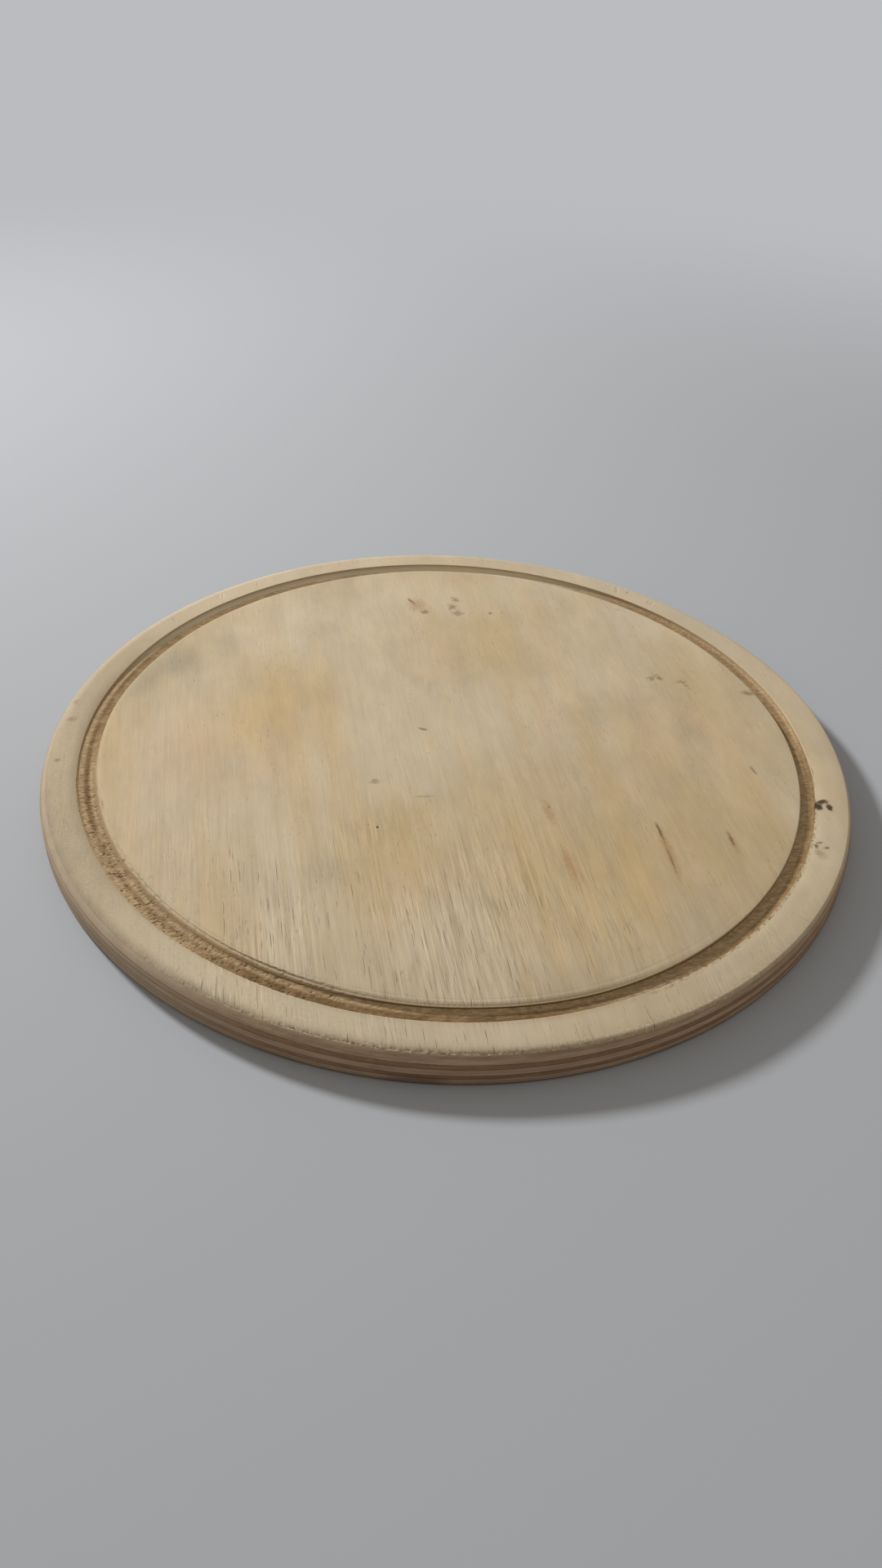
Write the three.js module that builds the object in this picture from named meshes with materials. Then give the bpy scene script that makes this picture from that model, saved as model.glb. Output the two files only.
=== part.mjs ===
// Round plywood pizza board: seven veneers bonded by glue films, with a crumb groove routed round the top.
// The groove goes right through the face veneer and its glue film, so both are left as a centre disc
// and a rim ring, and it bites into the crossband below. Millimetres, +Z up, origin at the centre of
// the underside. Every piece is turned about the Z axis from its own slice of the board's section.

import * as THREE from "three";

// Outline
const boardDiameter = 300;
const topEdgeRadius = 6;
const bottomEdgeRadius = 1;

// Layers, from the top down
const faceVeneerThickness = 1.1;
const upperCrossbandThickness = 2.0;
const upperLongbandThickness = 1.45;
const coreThickness = 2.3;
const lowerLongbandThickness = 1.45;
const lowerCrossbandThickness = 2.0;
const backVeneerThickness = 1.1;
const glueFilmThickness = 0.1;

// Groove, cut by a straight cutter with rounded corners. Its inset is from the board's edge to the
// middle of the groove, and its bite is how far its floor lies below the top of the upper crossband.
const grooveInset = 16.7;
const grooveCutterDiameter = 6;
const grooveCornerRadius = 1.5;
const grooveBite = 1.1;
const grooveLipRadius = 0.3;

// Facets
const turnSegments = 128;
const topEdgeSteps = 8;
const bottomEdgeSteps = 3;
const grooveCornerSteps = 5;
const grooveLipSteps = 3;
const leastStep = 0.08;

// Heights of the faces between layers
const backTop = backVeneerThickness;
const backGlueTop = backTop + glueFilmThickness;
const lowerCrossbandTop = backGlueTop + lowerCrossbandThickness;
const lowerCrossbandGlueTop = lowerCrossbandTop + glueFilmThickness;
const lowerLongbandTop = lowerCrossbandGlueTop + lowerLongbandThickness;
const lowerCoreGlueTop = lowerLongbandTop + glueFilmThickness;
const coreTop = lowerCoreGlueTop + coreThickness;
const upperCoreGlueTop = coreTop + glueFilmThickness;
const upperLongbandTop = upperCoreGlueTop + upperLongbandThickness;
const upperCrossbandGlueTop = upperLongbandTop + glueFilmThickness;
const upperCrossbandTop = upperCrossbandGlueTop + upperCrossbandThickness;
const faceGlueTop = upperCrossbandTop + glueFilmThickness;
const boardTop = faceGlueTop + faceVeneerThickness;

const boardRadius = boardDiameter / 2;
const grooveRadius = boardRadius - grooveInset;
const grooveFloor = upperCrossbandTop - grooveBite;
const cutterRadius = grooveCutterDiameter / 2;
const cornerCentre = grooveFloor + grooveCornerRadius;

const faceWood = new THREE.MeshStandardMaterial({ color: 0xe0cba8, roughness: 0.75, metalness: 0 });
const crossbandWood = new THREE.MeshStandardMaterial({ color: 0xb89b78, roughness: 0.85, metalness: 0 });
const longbandWood = new THREE.MeshStandardMaterial({ color: 0x8f7355, roughness: 0.85, metalness: 0 });
const glue = new THREE.MeshStandardMaterial({ color: 0x4f3a28, roughness: 0.6, metalness: 0 });

const board = new THREE.Group();
board.name = "pizza_board";

// How far a quarter round of this radius stands back from its wall, at a distance past where it starts.
function roundInset(radius, past) {
  if (past <= 0) return 0;
  return radius - Math.sqrt(Math.max(0, radius * radius - past * past));
}

// Radius of the board's outer edge at a height: rounded over at the top, eased at the bottom.
function edgeRadiusAt(height) {
  const topPast = height - (boardTop - topEdgeRadius);
  const bottomPast = bottomEdgeRadius - height;
  return boardRadius - roundInset(topEdgeRadius, topPast) - roundInset(bottomEdgeRadius, bottomPast);
}

// Half the groove's width at a height: rounded corners at its floor, straight walls and eased lips.
function grooveHalfWidthAt(height) {
  const cornerPast = cornerCentre - height;
  const lipPast = height - (boardTop - grooveLipRadius);
  return cutterRadius - roundInset(grooveCornerRadius, cornerPast) + roundInset(grooveLipRadius, lipPast);
}

// Heights of the points along a quarter round, evenly spaced in angle.
function quarterRoundHeights(start, rise, steps) {
  return Array.from({ length: steps + 1 }, (unused, i) => {
    return start + rise * Math.sin((i / steps) * (Math.PI / 2));
  });
}

const edgeHeights = [
  ...quarterRoundHeights(bottomEdgeRadius, -bottomEdgeRadius, bottomEdgeSteps).reverse(),
  ...quarterRoundHeights(boardTop - topEdgeRadius, topEdgeRadius, topEdgeSteps),
];
const grooveHeights = [
  ...quarterRoundHeights(cornerCentre, -grooveCornerRadius, grooveCornerSteps).reverse(),
  ...quarterRoundHeights(boardTop - grooveLipRadius, grooveLipRadius, grooveLipSteps),
];

// The two ends of a layer and the listed heights between them, from the bottom up.
function heightsWithin(heights, bottom, top) {
  const inside = heights.filter((h) => h > bottom + leastStep && h < top - leastStep);
  const rising = [...inside].sort((a, b) => a - b);
  const apart = rising.filter((h, i) => i === 0 || h - rising[i - 1] > leastStep);
  return [bottom, ...apart, top];
}

// Points of the outer edge across a layer, from the bottom up.
function edgePoints(bottom, top) {
  return heightsWithin(edgeHeights, bottom, top).map((h) => new THREE.Vector2(edgeRadiusAt(h), h));
}

// Points of one wall of the groove across a layer, from the bottom up: side -1 is the inner wall.
function groovePoints(side, bottom, top) {
  return heightsWithin(grooveHeights, bottom, top).map((h) => {
    return new THREE.Vector2(grooveRadius + side * grooveHalfWidthAt(h), h);
  });
}

// A piece turned about the Z axis from its section, a run of points that goes round its outside.
function addTurned(name, points, material) {
  const geometry = new THREE.LatheGeometry(points, turnSegments);
  geometry.rotateX(Math.PI / 2);
  const mesh = new THREE.Mesh(geometry, material);
  mesh.name = name;
  board.add(mesh);
}

// A layer below the groove: a whole disc.
function addDisc(name, bottom, top, material) {
  const onAxis = (h) => new THREE.Vector2(0, h);
  addTurned(name, [onAxis(bottom), ...edgePoints(bottom, top), onAxis(top)], material);
}

// The layer that holds the groove's floor: a disc with a round-cornered trough in its top.
function addTroughedDisc(name, bottom, top, material) {
  const outerWall = groovePoints(1, grooveFloor, top).reverse();
  const innerWall = groovePoints(-1, grooveFloor, top);
  const points = [
    new THREE.Vector2(0, bottom),
    ...edgePoints(bottom, top),
    ...outerWall,
    ...innerWall,
    new THREE.Vector2(0, top),
  ];
  addTurned(name, points, material);
}

// A layer that the groove cuts right through: the disc inside the groove.
function addCentreDisc(name, bottom, top, material) {
  const points = [new THREE.Vector2(0, bottom), ...groovePoints(-1, bottom, top), new THREE.Vector2(0, top)];
  addTurned(name, points, material);
}

// A layer that the groove cuts right through: the ring outside the groove, closed on its first point.
function addRimRing(name, bottom, top, material) {
  const points = [...edgePoints(bottom, top), ...groovePoints(1, bottom, top).reverse()];
  addTurned(name, [...points, points[0].clone()], material);
}

addCentreDisc("face_veneer_center", faceGlueTop, boardTop, faceWood);
addRimRing("face_veneer_rim", faceGlueTop, boardTop, faceWood);
addCentreDisc("face_glue_center", upperCrossbandTop, faceGlueTop, glue);
addRimRing("face_glue_rim", upperCrossbandTop, faceGlueTop, glue);
addTroughedDisc("upper_crossband", upperCrossbandGlueTop, upperCrossbandTop, crossbandWood);
addDisc("upper_crossband_glue", upperLongbandTop, upperCrossbandGlueTop, glue);
addDisc("upper_longband", upperCoreGlueTop, upperLongbandTop, longbandWood);
addDisc("upper_core_glue", coreTop, upperCoreGlueTop, glue);
addDisc("core_ply", lowerCoreGlueTop, coreTop, crossbandWood);
addDisc("lower_core_glue", lowerLongbandTop, lowerCoreGlueTop, glue);
addDisc("lower_longband", lowerCrossbandGlueTop, lowerLongbandTop, longbandWood);
addDisc("lower_crossband_glue", lowerCrossbandTop, lowerCrossbandGlueTop, glue);
addDisc("lower_crossband", backGlueTop, lowerCrossbandTop, crossbandWood);
addDisc("back_glue", backTop, backGlueTop, glue);
addDisc("back_veneer", 0, backTop, faceWood);

export default board;
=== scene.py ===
import math
import random
from collections import namedtuple

import bmesh
import bpy
import numpy as np
from bpy.props import FloatProperty, FloatVectorProperty, IntProperty, PointerProperty
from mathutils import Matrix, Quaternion, Vector, noise


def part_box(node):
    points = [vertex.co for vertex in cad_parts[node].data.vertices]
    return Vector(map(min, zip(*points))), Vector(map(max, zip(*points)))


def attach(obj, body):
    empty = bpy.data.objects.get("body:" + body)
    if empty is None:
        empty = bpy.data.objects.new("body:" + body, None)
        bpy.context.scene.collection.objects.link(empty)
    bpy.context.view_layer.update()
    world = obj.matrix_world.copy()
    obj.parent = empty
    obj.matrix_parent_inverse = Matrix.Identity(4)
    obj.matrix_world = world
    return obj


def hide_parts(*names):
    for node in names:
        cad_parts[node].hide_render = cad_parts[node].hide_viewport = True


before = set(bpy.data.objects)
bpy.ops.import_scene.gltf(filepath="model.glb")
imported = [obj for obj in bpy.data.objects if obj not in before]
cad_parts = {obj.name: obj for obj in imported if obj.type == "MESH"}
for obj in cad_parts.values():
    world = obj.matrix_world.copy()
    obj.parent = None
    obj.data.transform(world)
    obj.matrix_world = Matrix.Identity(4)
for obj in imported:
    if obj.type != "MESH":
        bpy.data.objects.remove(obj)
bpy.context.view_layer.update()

bl_info = {
    "name": "Plywood Pizza Board",
    "version": (1, 0, 0),
    "blender": (4, 5, 0),
    "location": "View3D > Sidebar > Board",
    "description": "Builds a worn plywood pizza board, layer by layer, on its fixed frame",
    "category": "Add Mesh",
}

BODY = "root"
MM = 0.001
FULL_TURN = 2 * math.pi
QUARTER_TURN = math.pi / 2
MERGE_DISTANCE = 0.001 * MM
TOUCHING = 0.01 * MM
SMOOTH_BELOW = math.radians(42)
SENSOR_WIDTH = 36
CLIP_START = 10 * MM
FLOOR_WIDTH = 12
LAMP_TINT = (0.975, 0.99, 1.0)
FILL_TINT = (1.0, 0.95, 0.875)

# A part of the board seen from its middle: its azimuth, how far it reaches to each side of that, and
# how far it fades out past its reach, in degrees.
Part = namedtuple("Part", "azimuth reach fade")
TORN_QUARTER = Part(226, 24, 18)  # the groove where the cutter tore the wood
WORN_FRONT = Part(268, 20, 28)  # the inner lip where it is worn most
FULL_RIGHT = Part(330, 34, 24)  # the inner lip where it is hardly worn
CUT_BACK = Part(140, 16, 28)  # the inner wall where it stands back from the groove
LEANING_LIP = Part(222, 24, 26)  # the inner lip where it leans back
SOFT_LEFT = Part(200, 24, 26)  # the groove where its sides are worn to gentle slopes
SOFT_RIGHT = Part(334, 20, 16)  # the outer lip where it slopes less
SHALLOW_LEFT = Part(182, 56, 40)  # the groove's floor where it is shallow
NARROW_SHOULDER = Part(318, 20, 34)  # the worn strip where it is narrow
SCRATCHED_FRONT = Part(270, 28, 34)  # the tool line where it shows
CRUMBLED_WALL = Part(330, 22, 14)  # the outer wall where it is torn
CRUMBLED_LIP = Part(330, 24, 16)  # the outer lip above it
RAGGED_FRONT = Part(272, 26, 24)  # the face veneer's outer edge where it is torn
SQUARER_EDGE = Part(338, 32, 38)  # the top round where it is smaller

# Bands of radius, in millimetres, across which a tone comes in.
OUTER_FACE = (104, 134)
GROOVE_TO_RIM = (132, 138)
RIM = (135, 138)
RIM_LAND = (136, 139)
BARE_RIM = (136.5, 139)
OUTER_RIM = (137, 140)
ROUND_START = (143, 145)
HELD_ROUND = (143.5, 148)
FRAYED_ROUND = (145.2, 147.2)
EDGE = (145, 147)

# A crack in a veneer, at an angle or a distance across the grain, with its two ends and its depth.
Check = namedtuple("Check", "place start end depth")

Column = namedtuple("Column", "place checks part")


def linear(red, green, blue):
    """Scene-linear colour of a display colour given from 0 to 255."""
    shares = (value / 255 for value in (red, green, blue))
    return tuple(s / 12.92 if s <= 0.04045 else ((s + 0.055) / 1.055) ** 2.4 for s in shares)


def colour(name, description, display):
    """A colour property with a display colour as its default."""
    default = linear(*display)
    return FloatVectorProperty(
        name=name, description=description, default=default, subtype="COLOR", size=3, min=0, max=1
    )


def length(name, description, millimetres):
    """A length property, given in millimetres and kept in metres."""
    default = millimetres * MM
    return FloatProperty(
        name=name, description=description, default=default, unit="LENGTH", precision=5
    )


def angle(name, description, degrees):
    """An angle property, given in degrees."""
    default = math.radians(degrees)
    return FloatProperty(name=name, description=description, default=default, subtype="ANGLE")


def number(name, description, default):
    """A plain number property, never below zero."""
    return FloatProperty(name=name, description=description, default=default, min=0)


class BoardSizes(bpy.types.PropertyGroup):
    """Sizes of the board's section and of its wear."""

    top_edge_radius: length("Top edge radius", "Round on the rim's upper edge", 6)
    bottom_edge_radius: length("Bottom edge radius", "Ease on the lower edge", 1)
    edge_fullness: number("Edge fullness", "How much smaller the top round is at the right", 0.62)
    groove_inset: length("Groove inset", "From the board's edge to the middle of the groove", 16.7)
    cutter_diameter: length("Cutter diameter", "Cutter that made the groove", 6)
    corner_radius: length("Corner radius", "Rounded corners of that cutter", 1.5)
    groove_bite: length("Groove bite", "How far the groove's floor lies in the upper crossband", 1.1)
    lip_radius: length("Lip radius", "Ease on both lips of the groove", 0.3)
    shoulder_width: length("Shoulder width", "Worn strip of the face beside the groove", 2.5)
    shoulder_drop: length("Shoulder drop", "How far that strip falls at the front", 0.6)
    lip_shift: length("Lip shift", "How far the inner lip stands into the groove at the right", 0.8)
    lip_lean: length("Lip lean", "How far the inner lip leans back at the front left", 1.2)
    rim_drop: length("Rim drop", "How far the rim falls towards the groove at the left", 0.65)
    floor_rise: length("Floor rise", "How much shallower the groove is at the left", 0.7)
    tool_line_depth: length("Tool line depth", "Scratch left by the cutter's collar on the face", 0.05)
    grain_turn: angle("Grain turn", "Turn of the face's grain from the Y axis", 12)
    check_depth: length("Check depth", "Depth of the deepest checks in the face veneer", 0.24)
    check_half_width: length("Check half width", "Half the width of a check", 0.08)
    crumb_depth: length("Crumb depth", "Depth of the pits that the cutter tore in the groove", 0.3)
    lump_height: length("Lump height", "Unevenness of the face veneer's sanded-through edge", 0.22)
    tear_depth: length("Tear depth", "How far fibres are torn from the face veneer's lower edge", 0.4)
    seed: IntProperty(name="Seed", description="Places the checks", default=7)


class BoardColours(bpy.types.PropertyGroup):
    """Colours of the wood and the glue."""

    pale: colour("Pale face", "Face veneer where it is palest", (196, 180, 155))
    honey: colour("Honey face", "Face veneer where it is warm", (180, 156, 114))
    amber: colour("Amber stain", "Oily stain on the face", (197, 167, 118))
    rosy: colour("Rosy wood", "Pinkish patches of the face", (195, 168, 139))
    grey: colour("Grey smudge", "Damp smudge on the face", (160, 148, 126))
    # Also painted shade in pits and checks
    pore_and_shade: colour("Pores", "Open pores and checks", (92, 70, 45))
    # Also painted light on the groove's far outer wall
    sliver_and_light: colour("Slivers", "Fibres that stand up beside a check", (219, 204, 174))
    # Also painted shade towards the front right of the face
    ash_and_shade: colour("Greyed wood", "Rim and front of the face, greyed by use", (150, 135, 113))
    rust: colour("Rust streak", "Reddish streaks in the grain", (152, 108, 64))
    groove: colour("Groove", "Bare wood in the groove", (180, 154, 118))
    # Also painted shade on the lit floor of the groove at the front
    scorch_and_shade: colour("Browned groove", "Wood browned by the cutter in the groove", (122, 95, 60))
    char: colour("Burnt line", "Burnt edge of the face veneer in the groove", (84, 58, 32))
    end_grain: colour("Face end grain", "Face veneer cut across its grain", (168, 146, 116))
    crossband: colour("Crossband", "Crossband cut along its grain", (173, 146, 120))
    longband: colour("Long band", "Inner ply cut across its grain", (136, 106, 80))
    back: colour("Back veneer", "Underside", (184, 163, 130))
    glue: colour("Glue", "Hardened glue line", (116, 93, 70))
    # Also painted shade on the lower part of the top round
    grime_and_shade: colour("Grime", "Dirt on the handled edge", (112, 98, 82))
    mark: colour("Mark", "Dark marks and chips", (52, 40, 26))


class StageSettings(bpy.types.PropertyGroup):
    """Camera, light and floor."""

    camera_distance: length("Camera distance", "From the middle of the underside to the lens", 455.9)
    camera_elevation: angle("Camera elevation", "Height of the lens above the floor", 38.05)
    camera_roll: angle("Camera roll", "Tilt of the picture", 3.04)
    camera_aim: FloatVectorProperty(
        name="Camera aim",
        description="Point that the lens looks at",
        default=(-0.0019, -0.0270, 0.012),
        subtype="XYZ",
    )
    focal_length: number("Focal length", "Millimetres, on a 36 mm long side", 27.1)
    floor: colour("Floor", "Plain floor", (171, 173, 177))
    backdrop: colour("Backdrop", "What the floor fades into and what is seen past it", (186, 188, 192))
    floor_fade_start: length("Floor fade start", "Radius at which the floor starts to fade", 320)
    floor_fade_end: length("Floor fade end", "Radius past which only the backdrop is seen", 950)
    fill: number("Fill", "Strength of the even light from all round", 0.4)
    key: number("Key", "Strength of the soft lamp where it reaches the board", 3.22)
    key_distance: length("Key distance", "From the board to the soft lamp", 2000)
    key_spread: angle("Key spread", "Angle that the soft lamp fills", 8)
    key_beam: angle("Key beam", "Beam that keeps the soft lamp's light off the floor below it", 120)
    key_azimuth: angle("Key azimuth", "Direction of the soft lamp, from the X axis", 139)
    key_elevation: angle("Key elevation", "Height of the soft lamp", 31.5)


def sizes():
    return bpy.context.scene.board_sizes


def colours():
    return bpy.context.scene.board_colours


def stage_settings():
    return bpy.context.scene.board_stage


def layer_heights(node):
    """Bottom and top of a layer of the frame."""
    low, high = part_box(node)
    return low.z, high.z


BOARD_TOP = layer_heights("face_veneer_rim")[1]
BOARD_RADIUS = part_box("lower_crossband")[1].x


def round_inset(radius, past):
    """How far a quarter round stands back from its wall, at a distance past where it starts."""
    if past <= 0:
        return 0.0
    return radius - math.sqrt(max(0.0, radius * radius - past * past))


def edge_radius_at(height):
    """Radius of the board's outer edge at a height: rounded over at the top, eased at the bottom."""
    s = sizes()
    top_past = height - (BOARD_TOP - s.top_edge_radius)
    bottom_past = s.bottom_edge_radius - height
    top_inset = round_inset(s.top_edge_radius, top_past)
    return BOARD_RADIUS - top_inset - round_inset(s.bottom_edge_radius, bottom_past)


def groove_radius():
    """Radius of the middle of the groove."""
    return BOARD_RADIUS - sizes().groove_inset


def groove_floor():
    """Height of the groove's floor."""
    return layer_heights("upper_crossband")[1] - sizes().groove_bite


def groove_half_width_at(height):
    """Half the groove's width at a height: round corners at its floor, straight walls, eased lips."""
    s = sizes()
    corner_past = groove_floor() + s.corner_radius - height
    lip_past = height - (BOARD_TOP - s.lip_radius)
    corner_inset = round_inset(s.corner_radius, corner_past)
    return s.cutter_diameter / 2 - corner_inset + round_inset(s.lip_radius, lip_past)


def spread(first, last, count):
    """Evenly spaced numbers from first to last."""
    return [first + (last - first) * i / (count - 1) for i in range(count)]


def eased(first, last, count):
    """Numbers from first to last that crowd together towards last."""
    return [first + (last - first) * math.sin(t * QUARTER_TURN) for t in spread(0, 1, count)]


def edge_section(bottom, top, count):
    """Points of the outer edge from the bottom up, as (radius, height)."""
    return [(edge_radius_at(h), h) for h in eased(bottom, top, count)]


def groove_section(side, bottom, top, count):
    """Points of one wall of the groove from the bottom up: side -1 is the inner wall."""
    lip = sizes().lip_radius
    heights = list(reversed(eased(top, bottom, count)))
    if top > BOARD_TOP - lip:
        heights = spread(bottom, top - lip, count) + eased(top - lip, top, count)[1:]
    return [(groove_radius() + side * groove_half_width_at(h), h) for h in heights]


def smooth_step(low, high, value):
    """0 below low, 1 above high, and an S curve between them."""
    share = min(1.0, max(0.0, (value - low) / (high - low)))
    return share * share * (3 - 2 * share)


def facing(x, y, part):
    """1 where a point lies in a part of the board, falling to 0 over its fade."""
    away = abs((math.degrees(math.atan2(y, x)) - part.azimuth + 180) % 360 - 180)
    return 1 - smooth_step(part.reach, part.reach + part.fade, away)


def rim_fall(x, y):
    """How far the rim falls towards the groove: most at the left, less at the right."""
    return sizes().rim_drop * max(facing(x, y, SOFT_LEFT), 0.6 * facing(x, y, SOFT_RIGHT))


def fuller_edge(x, y, radius, height):
    """Radius of the outer edge at a height: its top round is smaller at the right than elsewhere."""
    s = sizes()
    if height < BOARD_TOP - s.top_edge_radius or radius < BOARD_RADIUS - s.top_edge_radius:
        return radius
    kept = 1 - s.edge_fullness * facing(x, y, SQUARER_EDGE)
    return BOARD_RADIUS - (BOARD_RADIUS - radius) * kept


def lip_offset(x, y):
    """How far the groove's inner wall stands into it at the right, or back from it at the far left."""
    return sizes().lip_shift * (facing(x, y, FULL_RIGHT) - 1.6 * facing(x, y, CUT_BACK))


def grain_directions():
    """Unit vectors across and along the face's grain."""
    turned = sizes().grain_turn
    across = Vector((math.cos(turned), math.sin(turned), 0))
    along = Vector((-math.sin(turned), math.cos(turned), 0))
    return across, along


def wave(x, y, z):
    """Smooth noise at a place, from about -1 to 1."""
    return noise.noise(Vector((x, y, z)))


def crumbs(x, y, z):
    """Pits of torn crossband fibre, from 0 to 1, longer across the face's grain than along it."""
    across, along = grain_directions()
    side = (x * across.x + y * across.y) / MM
    run = (x * along.x + y * along.y) / MM
    rough = wave(side / 1.5, run / 0.7, z / MM / 0.9)
    fine = wave(side / 0.5, run / 0.3, z / MM / 0.4 + 9)
    patchy = smooth_step(-0.3, 0.3, wave(side / 4.5, run / 3.5, 17))
    return smooth_step(0.0, 0.6, rough + 0.7 * fine) * (0.5 + 0.5 * patchy)


def depth_along(check, reach):
    """Depth of a check at a place along it, deepest in the middle."""
    share = (reach - check.start) / (check.end - check.start)
    if not 0 < share < 1:
        return 0.0
    return check.depth * math.sqrt(math.sin(math.pi * share))


def plan_columns(plain, checks, half_width):
    """Columns in order: plain ones, and three for each place that has checks."""
    places = sorted({check.place for check in checks})
    columns = []
    for place in places:
        on_it = [check for check in checks if check.place == place]
        columns += [Column(place + part * half_width, on_it, part) for part in (-1, 0, 1)]
    taken = np.array(places or [math.inf])
    for place in plain:
        if np.min(np.abs(taken - place)) > 1.5 * half_width:
            columns.append(Column(place, [], 0))
    columns.sort()
    apart = [columns[0]]
    for column in columns[1:]:
        if column.place - apart[-1].place > half_width / 4:
            apart.append(column)
    return apart


def check_relief(column, reach):
    """How deep a vertex of a column lies below the face, and how dark its painted shade is: one side
    stands up.
    """
    sink, dark = 0.0, 0.0
    for check in column.checks:
        depth = depth_along(check, reach)
        if column.part == 0:
            sink += depth
            dark = max(dark, depth / sizes().check_depth)
        elif column.part == 1:
            sink -= 0.06 * depth
    return sink, min(1.0, 1.6 * dark)


def start_piece(name, add, **where):
    """Adds a primitive as a new piece, alone in the selection, and opens it for editing."""
    bpy.ops.object.select_all(action="DESELECT")
    add(**where)
    piece = bpy.context.object
    piece.name = name
    piece.data.name = name
    bpy.ops.object.transform_apply(location=True, rotation=True, scale=True)
    bpy.ops.object.mode_set(mode="EDIT")
    bpy.ops.mesh.select_mode(type="VERT")
    bpy.ops.mesh.select_all(action="SELECT")
    return piece


def extrude_to(old, new):
    """Extrudes the selected vertex of a section from one point to the next."""
    step = (new[0] - old[0], 0, new[1] - old[1])
    bpy.ops.mesh.extrude_region_move(TRANSFORM_OT_translate={"value": step})


def close_piece():
    """Merges doubles, turns every face outward and leaves edit mode."""
    bpy.ops.mesh.select_all(action="SELECT")
    bpy.ops.mesh.remove_doubles(threshold=MERGE_DISTANCE)
    bpy.ops.mesh.normals_make_consistent(inside=False)
    bpy.ops.object.mode_set(mode="OBJECT")


def turn(name, section, steps):
    """Turns a section about the Z axis: it runs from axis to axis, or is closed into a ring."""
    first = section[0]
    add = bpy.ops.mesh.primitive_plane_add
    piece = start_piece(name, add, size=MM, location=(first[0], 0, first[1]))
    bpy.ops.mesh.merge(type="CENTER")
    for old, new in zip(section, section[1:]):
        extrude_to(old, new)
    if first[0] > 0:
        extrude_to(section[-1], first)
    bpy.ops.mesh.select_all(action="SELECT")
    bpy.ops.mesh.remove_doubles(threshold=MERGE_DISTANCE)
    bpy.ops.object.mode_set(mode="OBJECT")
    bpy.ops.object.modifier_add(type="SCREW")
    screw = piece.modifiers[-1]
    screw.axis = "Z"
    screw.angle = FULL_TURN
    screw.steps = screw.render_steps = steps
    screw.use_merge_vertices = True
    screw.merge_threshold = MERGE_DISTANCE
    bpy.ops.object.modifier_apply(modifier=screw.name)
    bpy.ops.object.mode_set(mode="EDIT")
    close_piece()
    return piece


def read_points(piece):
    """The piece's vertices as rows of x, y, z."""
    points = np.empty(len(piece.data.vertices) * 3)
    piece.data.vertices.foreach_get("co", points)
    return points.reshape(-1, 3)


def write_points(piece, points):
    """Puts the vertices where the rows of x, y, z say."""
    piece.data.vertices.foreach_set("co", points.ravel())
    piece.data.update()


def write_pits(piece, values):
    """Stores how dark each vertex's painted shade is, for the material to read."""
    attributes = piece.data.attributes
    pits = attributes.get("pit") or attributes.new("pit", "FLOAT", "POINT")
    pits.data.foreach_set("value", np.asarray(values, dtype=np.float32))


def wear_turned(piece, columns, wear):
    """Moves a turned piece's columns to their planned angles and wears each vertex.

    wear(column, azimuth, radius, height) gives the new azimuth, radius and height, and a darkness.
    """
    points = read_points(piece)
    pits = np.zeros(len(points))
    count = len(columns)
    for i, (x, y, z) in enumerate(points):
        radius = math.hypot(x, y)
        if radius < MERGE_DISTANCE:
            continue
        column = columns[round(math.atan2(y, x) / FULL_TURN * count) % count]
        azimuth, radius, z, pits[i] = wear(column, column.place, radius, z)
        points[i] = radius * math.cos(azimuth), radius * math.sin(azimuth), z
    write_points(piece, points)
    write_pits(piece, pits)


def finish_piece(piece, node, material):
    """Shades a finished piece and puts it in the place of its frame node."""
    bpy.ops.object.shade_smooth_by_angle(angle=SMOOTH_BELOW)
    piece.data.materials.clear()
    piece.data.materials.append(material)
    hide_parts(node)
    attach(piece, BODY)


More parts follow.
